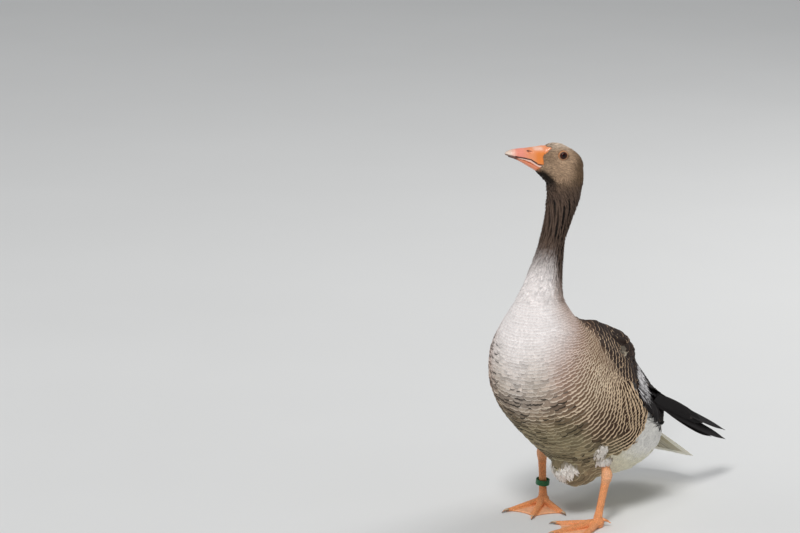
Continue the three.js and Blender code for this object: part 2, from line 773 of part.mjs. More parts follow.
for (const [side, leg] of Object.entries(LEGS)) {
  const limbs = new THREE.Group();
  goose.add(limbs);
  const thigh = thighLoft(leg).subtract(bodyGrown).subtract(wingsGrown);
  const shank = legLoft(leg).subtract(thighsGrown).subtract(bodyGrown);
  add(limbs, `thigh_${side}`, geometryOf(thigh), BREAST_GREY);
  add(limbs, `leg_${side}`, geometryOf(shank), LEG_ORANGE);
  add(limbs, `foot_${side}`, geometryOf(footSolid(leg)), LEG_ORANGE);
}

const ringLeg = LEGS.right;
const ringAt = point(ringLeg.foot).setZ(FOOT_JOINT_HEIGHT).lerp(
  point(ringLeg.hock),
  (RING_UP - FOOT_JOINT_HEIGHT) / (ringLeg.hock[2] - FOOT_JOINT_HEIGHT),
);
const legRing = add(goose, 'leg_ring', legRingGeometry(), RING_GREEN);
legRing.position.copy(ringAt);
legRing.rotation.y = RING_TILT;

// The origin is on the floor, under the middle of the bird's box.
const extent = new THREE.Box3().setFromObject(goose);
const centre = extent.getCenter(new THREE.Vector3());
goose.position.set(-centre.x, -centre.y, 0);

export default goose;
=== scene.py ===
"""A standing grey goose, life size: skin, feathers, bill, eyes, legs and leg ring.

Metres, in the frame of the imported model: the bird faces -Y, its left side is +X
and its soles are at z = 0. Sizes below are in millimetres where they end in _MM.

Plans of the body and of the folded wing come first, then helpers for numbers, meshes
and materials. The skin is one remeshed body; feathers are closed vanes that a Flock
gathers and lay() sets on the cover, the even surface of the skin. Each region has a
coat_of function of its own, and all of them take their colours from one set of
markings. Bill, eyes, legs, ring and stage follow, and the bird is put together last.
"""
import math
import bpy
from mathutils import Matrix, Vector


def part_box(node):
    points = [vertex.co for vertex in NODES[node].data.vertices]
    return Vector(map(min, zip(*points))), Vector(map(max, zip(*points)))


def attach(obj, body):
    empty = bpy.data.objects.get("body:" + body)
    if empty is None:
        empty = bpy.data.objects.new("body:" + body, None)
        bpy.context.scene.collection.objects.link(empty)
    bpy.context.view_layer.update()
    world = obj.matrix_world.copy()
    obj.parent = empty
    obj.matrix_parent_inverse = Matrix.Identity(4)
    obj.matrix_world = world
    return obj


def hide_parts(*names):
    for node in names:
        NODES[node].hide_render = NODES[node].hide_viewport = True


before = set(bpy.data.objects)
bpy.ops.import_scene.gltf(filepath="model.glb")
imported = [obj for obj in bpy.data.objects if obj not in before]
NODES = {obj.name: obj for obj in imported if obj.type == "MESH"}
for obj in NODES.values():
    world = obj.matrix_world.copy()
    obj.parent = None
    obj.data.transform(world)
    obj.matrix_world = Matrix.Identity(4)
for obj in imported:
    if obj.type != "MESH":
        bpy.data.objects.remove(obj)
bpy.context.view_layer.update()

from types import SimpleNamespace

import bpy
import numpy as np
from mathutils import Vector
from mathutils.bvhtree import BVHTree
from mathutils.kdtree import KDTree

MM = 0.001
CHANCE = np.random.default_rng(20)

FLESH = ["head", "neck_upper", "neck_lower", "trunk", "thigh_left", "thigh_right",
         "wing_left", "wing_right"]
LIMBS = ["leg_left", "foot_left", "leg_right", "foot_right"]
BILL = ["bill_upper", "bill_nail", "bill_lower"]
EYES = ["eye_left", "eye_right"]
SIDES = {"left": 1.0, "right": -1.0}      # which way each side of the bird lies along X

# Plan of trunk and neck: each station joins a point of the back to a point of the
# belly, (y, z), with the half width there; from the head's base to the vent.
PLAN_MM = [
    ((-86, 523), (-124, 528), 16), ((-89, 498), (-132, 510), 22), ((-97, 471), (-136, 488), 21),
    ((-117, 433), (-149, 447), 17.5), ((-123, 406), (-157, 420), 19), ((-127, 386), (-169, 397), 22.5),
    ((-131, 365), (-183, 371), 27.5), ((-131, 349), (-198, 346), 35), ((-126, 338), (-211, 321), 46),
    ((-122, 328), (-222, 289), 58), ((-114, 320), (-225, 254), 71), ((-99, 313), (-216, 213), 82),
    ((-77, 302), (-196, 175), 90), ((-43, 283), (-158, 136), 92), ((-5, 255), (-108, 95), 91),
    ((30, 222), (-55, 61), 85), ((62, 184), (7, 55), 72), ((87, 147), (57, 63), 54),
    ((106, 115), (91, 77), 34), ((118, 94), (110, 86), 12),
]
PLAN_SQUARENESS = 2.15
NECK_LEAN_MM = (405, 490, 4)      # from this height to that one the neck leans this far left

# Plan of the folded left wing: (upper edge), (lower edge), half thickness.
WING_PLAN_MM = [
    ((50, -131, 297), (84, -143, 247), 5), ((32, -101, 310), (95, -123, 217), 12),
    ((24, -59, 299), (101, -83, 185), 15), ((24, -13, 269), (102, -43, 161), 16),
    ((26, 25, 231), (97, -11, 143), 13), ((32, 58, 192), (90, 15, 133), 8),
    ((42, 85, 160), (79, 43, 127), 3),
]

# Flight feathers of the left wing: root, tip, width.
PRIMARIES_MM = [
    ((88, -5, 189), (63, 224, 75), 19), ((89, -9, 177), (65, 219, 62), 19),
    ((84, -1, 178), (58, 187, 74), 19), ((86, -4, 186), (66, 150, 108), 18),
    ((87, -6, 188), (72, 112, 128), 18),
]
PRIMARY_TILT = (-0.75, 0.28, 0.6)         # the way each blade's upper edge points
PRIMARY_STEP_MM = 2.2                     # blades lie over one another this far apart

TAIL_ROOT_MM = (0, 50.7, 130)
TAIL_DROOP = math.radians(36)
TAIL_LENGTH_MM = 156
TAIL_HALF_MM = (22, 48)                   # half width at root and at trailing edge

# Left and right leg: hock, middle of the foot, and how far the foot turns in.
LEGS_MM = {
    "left": ((56, -72, 76), (51, -87.3, 0), -24),
    "right": ((-87, -33, 76), (-79, -41.3, 0), 24),
}
ANKLE_MM = {"left": (52, -72, 92), "right": (-81, -42, 93)}
TOES = ((-40, 62), (0, 76), (38, 70))     # degrees from the middle toe, length in mm
RING_AT_MM = (-81.55, -38.8, 33)


# ---------- numbers ----------

def unit(v):
    return v / np.maximum(np.linalg.norm(v, axis=-1, keepdims=True), 1e-12)


def step(x, low, high):
    """0 below low, 1 above high, smooth between; high may be the smaller one."""
    t = np.clip((np.asarray(x, float) - low) / (high - low), 0, 1)
    return t * t * (3 - 2 * t)


def mix(a, b, t):
    """a where t is 0 and b where it is 1, colour by colour if they are colours."""
    a, b, t = np.asarray(a, float), np.asarray(b, float), np.asarray(t, float)
    if t.ndim and (3,) in (a.shape[-1:], b.shape[-1:]):
        t = t[..., None]
    return a + (b - a) * t


def layered(colour, *layers):
    """The colour with others over it, each told with how much it covers, place by place."""
    for other, share in layers:
        colour = mix(colour, other, share)
    return colour


def srgb(*code):
    """Linear colour of an sRGB one given as 0..255."""
    c = np.array(code, float) / 255
    return np.where(c <= 0.04045, c / 12.92, ((c + 0.055) / 1.055) ** 2.4)


def smooth_curve(values, at):
    """Catmull-Rom through rows of values, read at shares 0..1."""
    values = np.asarray(values, float)
    last = len(values) - 1
    x = np.clip(at, 0, 1) * last
    i = np.minimum(x.astype(int), last - 1)
    t = (x - i)[:, None]
    a, b = values[np.maximum(i - 1, 0)], values[i]
    c, d = values[i + 1], values[np.minimum(i + 2, last)]
    return b + 0.5 * t * (c - a + t * (2 * a - 5 * b + 4 * c - d + t * (3 * (b - c) + d - a)))


def neighbours_mean(points, edges):
    """Mean place of each point's neighbours."""
    total = np.zeros_like(points)
    ends = np.concatenate([edges, edges[:, ::-1]])
    count = np.bincount(ends[:, 0], minlength=len(points))
    for axis in range(3):
        total[:, axis] = np.bincount(ends[:, 0], points[ends[:, 1], axis], len(points))
    return total / np.maximum(count, 1)[:, None]


def relaxed(points, edges, rounds, shrink=0.6, swell=-0.62):
    """Smooths points without shrinking the form they lie on."""
    for _ in range(rounds):
        for share in (shrink, swell):
            points = points + share * (neighbours_mean(points, edges) - points)
    return points


def path_distance(x, y, path):
    """Distance of flat points from a broken line."""
    best = np.full(np.shape(x), np.inf)
    for (ax, ay), (bx, by) in zip(path[:-1], path[1:]):
        along = ((x - ax) * (bx - ax) + (y - ay) * (by - ay)) / ((bx - ax) ** 2 + (by - ay) ** 2)
        along = np.clip(along, 0, 1)
        best = np.minimum(best, np.hypot(x - ax - along * (bx - ax), y - ay - along * (by - ay)))
    return best


def folded_mm(points):
    """Places in millimetres, those of the bird's right side folded onto its left."""
    return np.abs(points / MM * [1, 0, 0]) + points / MM * [0, 1, 1]


def near_line(points, line, reach):
    """1 close to a broken line given in mm, 0 beyond its reach; either side of the bird."""
    line = np.array(line, float)
    shares = np.linspace(0, 1, 9)[:, None]
    stops = [a + (b - a) * shares for a, b in zip(line[:-1], line[1:])]
    stops = np.concatenate([line, *stops])
    gap = np.linalg.norm(folded_mm(points)[:, None] - stops[None], axis=2).min(1)
    return step(gap, reach * 1.15, reach * 0.7)


# ---------- meshes ----------

def mesh_arrays(mesh):
    points = np.empty(len(mesh.vertices) * 3)
    mesh.vertices.foreach_get("co", points)
    edges = np.empty(len(mesh.edges) * 2, int)
    mesh.edges.foreach_get("vertices", edges)
    normals = np.empty(len(mesh.vertices) * 3)
    mesh.vertices.foreach_get("normal", normals)
    return points.reshape(-1, 3), edges.reshape(-1, 2), normals.reshape(-1, 3)


def mesh_faces(mesh):
    return [list(face.vertices) for face in mesh.polygons]


def joined(names):
    """Points and faces of several CAD nodes, and each face's node number."""
    points, faces, owner = [], [], []
    start = 0
    for number, name in enumerate(names):
        mesh = NODES[name].data
        own = mesh_arrays(mesh)[0]
        points.append(own)
        for face in mesh.polygons:
            faces.append([start + v for v in face.vertices])
            owner.append(number)
        start += len(own)
    return np.concatenate(points), faces, np.array(owner)


def new_object(name, points, faces, smooth=True):
    mesh = bpy.data.meshes.new(name)
    mesh.from_pydata([tuple(p) for p in points], [], faces)
    mesh.update(calc_edges=True)
    ob = bpy.data.objects.new(name, mesh)
    bpy.context.scene.collection.objects.link(ob)
    mesh.polygons.foreach_set("use_smooth", np.full(len(mesh.polygons), smooth))
    return ob


def note(mesh, key, values, kind="FLOAT_VECTOR", field="vector"):
    """Keeps a value for each point of a mesh."""
    mesh.attributes.new(key, kind, "POINT").data.foreach_set(field, values.astype(np.float32).ravel())


def note_colour(mesh, key, colour):
    full = np.concatenate([colour, np.ones((len(colour), 1))], axis=1)
    note(mesh, key, full, "FLOAT_COLOR", "color")


def piece(name, points, faces, tint, material, slot, *nodes):
    """A coloured piece that rides on the bird and may stand for CAD nodes."""
    ob = new_object(name, points, faces)
    note_colour(ob.data, "tint", np.broadcast_to(tint, (len(points), 3)))
    ob.data.materials.append(material)
    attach(ob, "root")
    if nodes:
        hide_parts(*nodes)
    return ob


def remeshed(name, names, voxel, rounds):
    """One closed smooth body that joins the named CAD nodes."""
    points, faces, _ = joined(names)
    rough = new_object(name + "_rough", points, faces)
    change = rough.modifiers.new("one body", "REMESH")
    change.mode = "VOXEL"
    change.voxel_size = voxel
    shaped = rough.evaluated_get(bpy.context.evaluated_depsgraph_get())
    mesh = bpy.data.meshes.new_from_object(shaped)
    bpy.data.objects.remove(rough)
    mesh.name = name
    points, edges, _ = mesh_arrays(mesh)
    mesh.vertices.foreach_set("co", relaxed(points, edges, rounds).ravel())
    mesh.update()
    mesh.polygons.foreach_set("use_smooth", np.ones(len(mesh.polygons), bool))
    return mesh


def kept_faces(points, faces, keep):
    """The faces whose corners are all kept, and the points they use."""
    faces = [face for face in faces if all(keep[v] for v in face)]
    used = np.unique(np.concatenate([np.array(face) for face in faces]))
    number = np.full(len(points), -1)
    number[used] = np.arange(len(used))
    return used, [[int(number[v]) for v in face] for face in faces]


def tube(centres, radii, around, flat=1.0):
    """Closed round body through given centres, flatter in height where flat is below 1."""
    centres, radii = np.asarray(centres, float), np.asarray(radii, float)
    ways = unit(np.gradient(centres, axis=0))
    across = unit(np.cross(ways, np.array([0.0, 0, 1]) + 1e-6))
    upward = np.cross(across, ways)
    turn = np.arange(around) * 2 * math.pi / around
    points = (centres[:, None] + across[:, None] * (radii[:, None] * np.cos(turn))[..., None]
              + upward[:, None] * (flat * radii[:, None] * np.sin(turn))[..., None])
    rings = len(centres)
    faces = [[i * around + j, i * around + (j + 1) % around, (i + 1) * around + (j + 1) % around,
              (i + 1) * around + j] for i in range(rings - 1) for j in range(around)]
    faces = [face[::-1] for face in faces]
    faces.append(list(range(around)))
    faces.append([(rings - 1) * around + j for j in range(around - 1, -1, -1)])
    return points.reshape(-1, 3), faces


def nearest(tree, points):
    """Nearest place on a surface, its outward direction and the face's number."""
    places, outs = np.empty_like(points), np.empty_like(points)
    which = np.empty(len(points), int)
    for i, point in enumerate(points.tolist()):
        place, out, face, _ = tree.find_nearest(point)
        places[i], outs[i], which[i] = place, out, face
    return places, outs, which


def cast(tree, origins, ways, reach):
    """First hit from each origin along its way; the flag says where there is one."""
    places, outs = np.empty_like(origins), np.empty_like(origins)
    there = np.zeros(len(origins), bool)
    for i, (origin, way) in enumerate(zip(origins.tolist(), ways.tolist())):
        place, out, _, _ = tree.ray_cast(origin, way, reach)
        if place is not None:
            places[i], outs[i], there[i] = place, out, True
    return places, outs, there


def kd_of(points):
    tree = KDTree(len(points))
    for i, point in enumerate(points.tolist()):
        tree.insert(point, i)
    tree.balance()
    return tree


# ---------- materials ----------

def new_material(name):
    material = bpy.data.materials.new(name)
    material.use_nodes = True
    return material, material.node_tree, material.node_tree.nodes["Principled BSDF"]


class Wires:
    """Short ways to add and join shader nodes."""

    def __init__(self, tree):
        self.tree = tree

    def node(self, kind, inputs=None, **settings):
        made = self.tree.nodes.new(kind)
        for key, value in settings.items():
            setattr(made, key, value)
        for key, value in (inputs or {}).items():
            self.feed(value, made.inputs[key])
        return made

    def feed(self, value, socket):
        if isinstance(value, bpy.types.NodeSocket):
            self.tree.links.new(value, socket)
        elif isinstance(value, bpy.types.Node):
            self.tree.links.new(value.outputs[0], socket)
        else:
            socket.default_value = value

    def math(self, operation, a, b=0.0, clamp=False):
        return self.node("ShaderNodeMath", {0: a, 1: b}, operation=operation, use_clamp=clamp)

    def range(self, value, low, high, to_low=0.0, to_high=1.0, smooth=True):
        kind = "SMOOTHSTEP" if smooth else "LINEAR"
        return self.node("ShaderNodeMapRange", {
            "Value": value, "From Min": low, "From Max": high, "To Min": to_low, "To Max": to_high,
        }, interpolation_type=kind)

    def blend(self, share, a, b, kind="MIX"):
        made = self.node("ShaderNodeMix", data_type="RGBA", blend_type=kind)
        self.feed(share, made.inputs["Factor"])
        self.feed(a, made.inputs[6])
        self.feed(b, made.inputs[7])
        return made.outputs[2]

    def shaded(self, colour, value, dark, light):
        """The colour times a grey that goes from dark to light with a noise value."""
        grey = self.range(value, 0.3, 0.7, dark, light, smooth=False)
        return self.blend(1.0, colour, self.node("ShaderNodeCombineXYZ", {0: grey, 1: grey, 2: grey}),
                          "MULTIPLY")

    def attribute(self, name):
        return self.node("ShaderNodeAttribute", attribute_name=name)

    def place(self):
        return self.node("ShaderNodeTexCoord").outputs["Object"]

    def noise(self, vector, scale, detail=3.0, rough=0.55, distortion=0.0):
        return self.node("ShaderNodeTexNoise", {
            "Vector": vector, "Scale": scale, "Detail": detail, "Roughness": rough,
            "Distortion": distortion,
        })

    def bump(self, height, strength, distance):
        return self.node("ShaderNodeBump", {
            "Height": height, "Strength": strength, "Distance": distance,
        })


def vane_material(name, roughness, side_share, barb_depth, sheen, specular):
    """Feather vane: tinted by attributes, pale at its edge, streaked along its barbs.

    vane holds (across -1..1, along 0..1, share of the length that is edge) and
    barb holds (across, along, number) in millimetres. groove says how much painted
    shade darkens the sides where the feather stands in a ridge.
    """
    material, tree, shader = new_material(name)
    w = Wires(tree)
    tint, fringe = w.attribute("tint").outputs["Color"], w.attribute("fringe").outputs["Color"]
    vane = w.node("ShaderNodeSeparateXYZ", {0: w.attribute("vane").outputs["Vector"]})
    barb = w.node("ShaderNodeSeparateXYZ", {0: w.attribute("barb").outputs["Vector"]})
    side = w.math("ABSOLUTE", vane.outputs[0])
    # Barbs slant outwards from the shaft, so a streak follows along minus across.
    off_shaft = w.math("MULTIPLY", w.math("ABSOLUTE", barb.outputs[0]), 1.1)
    slant = w.math("SUBTRACT", barb.outputs[1], off_shaft)
    streak = w.noise(w.node("ShaderNodeCombineXYZ", {
        0: w.math("MULTIPLY", slant, 1.9), 1: w.math("MULTIPLY", barb.outputs[0], 0.16),
        2: w.math("MULTIPLY", barb.outputs[2], 3.7),
    }), 1.0, 3.0, 0.6)
    cloud = w.noise(w.node("ShaderNodeCombineXYZ", {
        0: barb.outputs[0], 1: barb.outputs[1], 2: barb.outputs[2],
    }), 0.23, 2.0)
    # Distance to the edge, as a share of the length; the sides count less than the tip.
    to_tip = w.math("SUBTRACT", 1.0, vane.outputs[1])
    to_side = w.math("MULTIPLY", w.math("SUBTRACT", 1.0, side), side_share)
    ragged = w.math("ADD", w.math("MINIMUM", to_tip, to_side),
                    w.math("MULTIPLY", w.math("SUBTRACT", streak, 0.5), 0.05))
    width = vane.outputs[2]
    pale = w.range(ragged, w.math("MULTIPLY", width, 1.25), w.math("MULTIPLY", width, 0.7))
    colour = w.blend(pale, tint, fringe)
    colour = w.shaded(colour, streak, 0.76, 1.2)
    colour = w.shaded(colour, cloud, 0.88, 1.1)
    # Painted shade: the sides of feathers in the neck's ridges are darkened as the shade of the furrows.
    groove = w.math("MULTIPLY", w.attribute("groove").outputs["Fac"], w.range(side, 0.25, 0.8))
    lit = w.math("SUBTRACT", 1.0, w.math("MULTIPLY", groove, 0.92))
    colour = w.blend(1.0, colour, w.node("ShaderNodeCombineXYZ", {0: lit, 1: lit, 2: lit}), "MULTIPLY")
    w.feed(colour, shader.inputs["Base Color"])
    w.feed(w.bump(streak, barb_depth, 0.0004), shader.inputs["Normal"])
    shader.inputs["Roughness"].default_value = roughness
    shader.inputs["Specular IOR Level"].default_value = specular
    shader.inputs["Sheen Weight"].default_value = sheen
    shader.inputs["Sheen Roughness"].default_value = 0.4
    return material


def tinted_material(name, roughness, grain, dark, light, bump, specular=0.5, coat=0.0,
                    coat_roughness=0.15):
    """A hard or leathery surface: its points' colour, clouded and pitted by noise."""
    material, tree, shader = new_material(name)
    w = Wires(tree)
    at = w.place()
    fine, cloud = w.noise(at, grain, 4.0, 0.6), w.noise(at, grain / 6, 2.0)
    colour = w.shaded(w.attribute("tint").outputs["Color"], fine, dark, light)
    colour = w.shaded(colour, cloud, (1 + dark) / 2, (1 + light) / 2)
    w.feed(colour, shader.inputs["Base Color"])
    w.feed(w.range(fine, 0.3, 0.7, roughness * 0.8, roughness * 1.2), shader.inputs["Roughness"])
    w.feed(w.bump(fine, 0.5, bump), shader.inputs["Normal"])
    shader.inputs["Specular IOR Level"].default_value = specular
    shader.inputs["Coat Weight"].default_value = coat
    shader.inputs["Coat Roughness"].default_value = coat_roughness
    return material


SOFT_VANE = vane_material("soft vane", 0.85, 1.1, 0.35, 0.06, 0.2)
SCALED_VANE = vane_material("scaled vane", 0.7, 0.42, 0.25, 0.0, 0.12)
FIRM_VANE = vane_material("firm vane", 0.6, 0.3, 0.2, 0.0, 0.1)


# ---------- places on the bird ----------

EYE_AT = {side: sum(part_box("eye_" + side), Vector()) / 2 for side in SIDES}
HEAD_SIDE = np.array((EYE_AT["left"] - EYE_AT["right"]).normalized())
HEAD_AT = np.array((EYE_AT["left"] + EYE_AT["right"]) / 2)
HEAD_AHEAD = np.array([HEAD_SIDE[1], -HEAD_SIDE[0], 0.0])
EYE_POLE = {side: HEAD_SIDE * sign for side, sign in SIDES.items()}

LABELS = FLESH + BILL + LIMBS
label_points, label_faces, LABEL_OF = joined(LABELS)
CAD_TREE = BVHTree.FromPolygons(label_points.tolist(), label_faces)


def in_nodes(points, *names):
    """Whether the CAD node nearest to each point is one of those named."""
    labels = LABEL_OF[nearest(CAD_TREE, points)[2]]
    return np.isin(labels, [LABELS.index(name) for name in names])


def head_place(points):
    """Forward, sideways and upward distance from between the eyes, in millimetres."""
    away = (points - HEAD_AT) / MM
    return away @ HEAD_AHEAD, away @ HEAD_SIDE, away[..., 2]


# Where the feathers end at the bill: height against how far ahead, on its side.
BILL_EDGE_UP_MM = (-30, -18.2, -16.8, -14.4, -12.5, -6.7, -2.8, 0.2, 3.2, 6.9, 10.0)
BILL_EDGE_AHEAD_MM = (40, 36.5, 33.4, 30.8, 28.0, 28.4, 28.8, 27.5, 24.6, 20.6, 16.1)
BILL_TOP_AHEAD_MM = 22.5


def feather_edge(side, up):
    """How far ahead the feathers of the face reach, in millimetres."""
    beside = np.interp(up, BILL_EDGE_UP_MM, BILL_EDGE_AHEAD_MM)
    return mix(beside, BILL_TOP_AHEAD_MM, step(up, 8, 11.5) * step(np.abs(side), 9.5, 4))


# The rear of the folded wing and the rump, where the plumage is thicker: the extra
# depth, and places with their reach, all in mm.
THICKER_MM = ((2.6, ((72, -15, 226), (77, -8, 204), (82, -1, 184)), 26),
              (3.6, ((47, 10, 230), (45, 30, 210), (43, 58, 186)), 25))


# Thickness of the plumage in mm, and how much more of it there is round the eyes.
DEPTH_BODY, DEPTH_HEAD, DEPTH_FACE, DEPTH_BILL, DEPTH_MORE_AT_EYE = 2.8, 1.5, 0.9, 1.3, 0.9
HEAD_FROM = (0.455, 0.5)          # heights between which the coat thins to that of the head


def coat_depth(points):
    """Thickness of the plumage over the skin, in metres."""
    ahead = head_place(points)[0]
    on_head = step(points[:, 2], *HEAD_FROM)
    depth = mix(DEPTH_BODY, DEPTH_HEAD, on_head)
    depth = mix(depth, DEPTH_FACE, on_head * step(ahead, 5, 20))
    depth = mix(depth, DEPTH_BILL, on_head * step(ahead, 24, 30))
    for side in SIDES:
        off = np.linalg.norm(points - np.array(EYE_AT[side]) - EYE_POLE[side] * 0.006, axis=1)
        depth = depth + DEPTH_MORE_AT_EYE * step(off, 0.0095, 0.005)
    extra = [more * near_line(points, line, reach) for more, line, reach in THICKER_MM]
    depth = depth + np.max(extra, axis=0)
    return depth * MM


# ---------- skin of the body ----------

SKIN_VOXEL = 2.5 * MM
SKIN_ROUNDS = 25
# The plumage of the flank bridges the lower edge of the folded wing within this reach.
BRIDGE_REACH_MM = 36
BRIDGE_ROUNDS = 140
BRIDGE_LOW, BRIDGE_HIGH = -6 * MM, 8 * MM


def body_skin():
    """The skin of the body, and the tree of the even surface that its feathers follow."""
    mesh = remeshed("body_skin", FLESH + BILL + EYES, SKIN_VOXEL, SKIN_ROUNDS)
    points, edges, normals = mesh_arrays(mesh)
    points = points - normals * coat_depth(points)[:, None]
    ledge = [lower for _, lower, _ in WING_PLAN_MM[1:]]
    ease = 0.5 * near_line(points, ledge, BRIDGE_REACH_MM)[:, None]
    even = points
    for _ in range(BRIDGE_ROUNDS):
        even = even + ease * (neighbours_mean(even, edges) - even)
    move = even - points
    off = (move * normals).sum(1, keepdims=True)
    mesh.vertices.foreach_set("co", (points + normals * np.clip(off, BRIDGE_LOW, 0)).ravel())
    mesh.update()
    far = np.maximum(np.linalg.norm(move, axis=1, keepdims=True), 1e-9)
    cover = points + move * np.minimum(1, np.where(off > 0, BRIDGE_HIGH, -BRIDGE_LOW) / far)
    return mesh, BVHTree.FromPolygons(cover.tolist(), mesh_faces(mesh))


SKIN_MESH, COVER = body_skin()


# ---------- feathers ----------

class Flock:
    """Feathers gathered for one piece: an array for each thing that is told of them."""

    PLAIN = {"groove": 0.0, "bend": 0.0, "sway": 6.0, "toss": 0.1}
    KEYS = ("root", "way", "out", "length", "width", "seat", "lift", "tint", "fringe", "edge", "place",
            "groove", "bend", "sway", "toss")

    def __init__(self):
        self.parts = {key: [] for key in self.KEYS}

    def add(self, mask=None, **told):
        count = len(told["root"])
        keep = np.ones(count, bool) if mask is None else mask
        for key in self.KEYS:
            value = np.asarray(told.get(key, self.PLAIN.get(key)), float)
            if key in ("root", "way", "out", "tint", "fringe"):
                value = np.broadcast_to(value, (count, 3))
            elif key == "place":
                value = np.broadcast_to(value, (count, 2))
            else:
                value = np.broadcast_to(value, (count,))
            self.parts[key].append(value[keep])
        return self

    def array(self, key):
        return np.concatenate(self.parts[key])


PATCH = 0.003                     # size of one feather's patch on the unwrap
PATCH_MARGIN = 0.004
WIDTH_VARIES = 0.05               # spread of the widths of like feathers, as a share

# A vane's shape. blunt is how square the tip is, drop how far its corners fall back,
# swell where along the length it is widest, foot the share of width at the root, camber
# how far its sides bend down, thick and shaft its height in mm, jag how ragged its rim
# is, and vary and shade how much lengths and tones differ.
VANE = {"rows": 6, "cols": 4, "blunt": 0.55, "drop": 0.22, "swell": 0.6, "foot": 0.45, "camber": 0.07,
        "thick": 0.32, "shaft": 0.0, "jag": 0.03, "vary": 0.05, "shade": 0.05}


def patches(place):
    """Places spread to fill the unwrap from 0 to 1 with a small margin."""
    low, high = place.min(0), place.max(0)
    return PATCH_MARGIN + (1 - 2 * PATCH_MARGIN) * (place - low) / np.maximum(high - low, 1e-9)


def vane_faces(rows, cols):
    """Faces of one closed vane: a grid above, one strip below, its two ends."""
    def at(i, j):
        return i * (cols + 1) + j

    faces = [[at(i, j), at(i, j + 1), at(i + 1, j + 1), at(i + 1, j)]
             for i in range(rows) for j in range(cols)]
    faces += [[at(i, 0), at(i + 1, 0), at(i + 1, cols), at(i, cols)] for i in range(rows)]
    faces.append([at(0, j) for j in range(cols, -1, -1)])
    faces.append([at(rows, j) for j in range(cols + 1)])
    return faces


def vane_axes(flock):
    """Each feather's own directions: along it, across it and out of the surface."""
    out = unit(flock.array("out"))
    way = flock.array("way")
    way = unit(way - out * (way * out).sum(1, keepdims=True))
    across = np.cross(way, out)
    turn = np.radians(CHANCE.normal(0, 1, len(way)) * flock.array("sway"))[:, None]
    cosine, sine = np.cos(turn), np.sin(turn)
    return way * cosine + across * sine, across * cosine - way * sine, out


def vane_sizes(flock, shape):
    """Length, width and lift of each feather, a little varied."""
    toss = flock.array("toss")
    length = flock.array("length") * CHANCE.normal(1, shape.vary, len(toss))
    width = flock.array("width") * CHANCE.normal(1, WIDTH_VARIES, len(toss))
    return length, width, flock.array("lift") * (1 + toss * CHANCE.normal(0, 1, len(toss)))


def vane_outline(count, shape, t, u):
    """Points of each vane, along it from 0 to 1 and across it from -1 to 1."""
    rising = shape.foot + (1 - shape.foot) * np.sin(np.clip(t / shape.swell, 0, 1) * math.pi / 2)
    late = np.clip((t - shape.swell) / (1 - shape.swell), 0, 1)
    falling = np.sqrt(np.clip(1 - (1 - shape.blunt ** 2) * late ** 2.2, 0, 1))
    along = t[:, None] * (1 - shape.drop * np.abs(u)[None, :] ** 2.2 * t[:, None])
    along = np.broadcast_to(along, (count, len(t), len(u))).copy()
    along[:, -1, :] += CHANCE.normal(0, shape.jag, (count, len(u)))
    side = u[None, None, :] * (rising * falling)[None, :, None] * np.ones((count, 1, 1))
    return along, side * (1 + CHANCE.normal(0, shape.jag, along.shape) * (np.abs(u) == 1))


def vane_heights(flock, shape, lift, along, side, t, u):
    """How high each point lies over the surface: a low seat, a lifted tip, a crowned middle."""
    seat, toss = flock.array("seat"), flock.array("toss")
    lean = (toss * CHANCE.normal(0, 1, len(toss)))[:, None, None]
    rise = along.clip(0, 1) ** 0.85
    height = seat[:, None, None] + (lift - seat)[:, None, None] * (
        rise * (1 + lean * side) - shape.camber * 4 * side ** 2 * rise)
    crown = shape.thick * (1 - u ** 2) + shape.shaft * (u == 0)
    return height + crown[None, None, :] * MM * (t > 0)[None, :, None] * np.ones_like(side)


def vane_mesh(name, points, count, rows, cols):
    """One mesh of like vanes, and the point at each of its corners."""
    pattern = vane_faces(rows, cols)
    sizes = np.tile([len(face) for face in pattern], count)
    loops = np.concatenate([np.array(face) for face in pattern])
    loops = (loops[None] + (rows + 1) * (cols + 1) * np.arange(count)[:, None]).ravel()
    mesh = bpy.data.meshes.new(name)
    mesh.vertices.add(len(points))
    mesh.vertices.foreach_set("co", points.ravel())
    mesh.loops.add(len(loops))
    mesh.loops.foreach_set("vertex_index", loops)
    mesh.polygons.add(len(sizes))
    mesh.polygons.foreach_set("loop_start", np.concatenate([[0], np.cumsum(sizes)[:-1]]))
    mesh.polygons.foreach_set("use_smooth", np.ones(len(sizes), bool))
    mesh.update(calc_edges=True)
    print(f"COAT {name}: {count} feathers, {int((sizes - 2).sum())} triangles")
    return mesh, loops


def crease_rims(mesh, count, t, u):
    """Marks the rim of each vane as a sharp edge."""
    rim = ((np.abs(u) == 1)[None, :] | (t == 0)[:, None] | (t == 1)[:, None]).ravel()
    rim = np.tile(rim, count)
    ends = mesh_arrays(mesh)[1]
    sharp = mesh.attributes.new("sharp_edge", "BOOLEAN", "EDGE")
    sharp.data.foreach_set("value", rim[ends[:, 0]] & rim[ends[:, 1]])


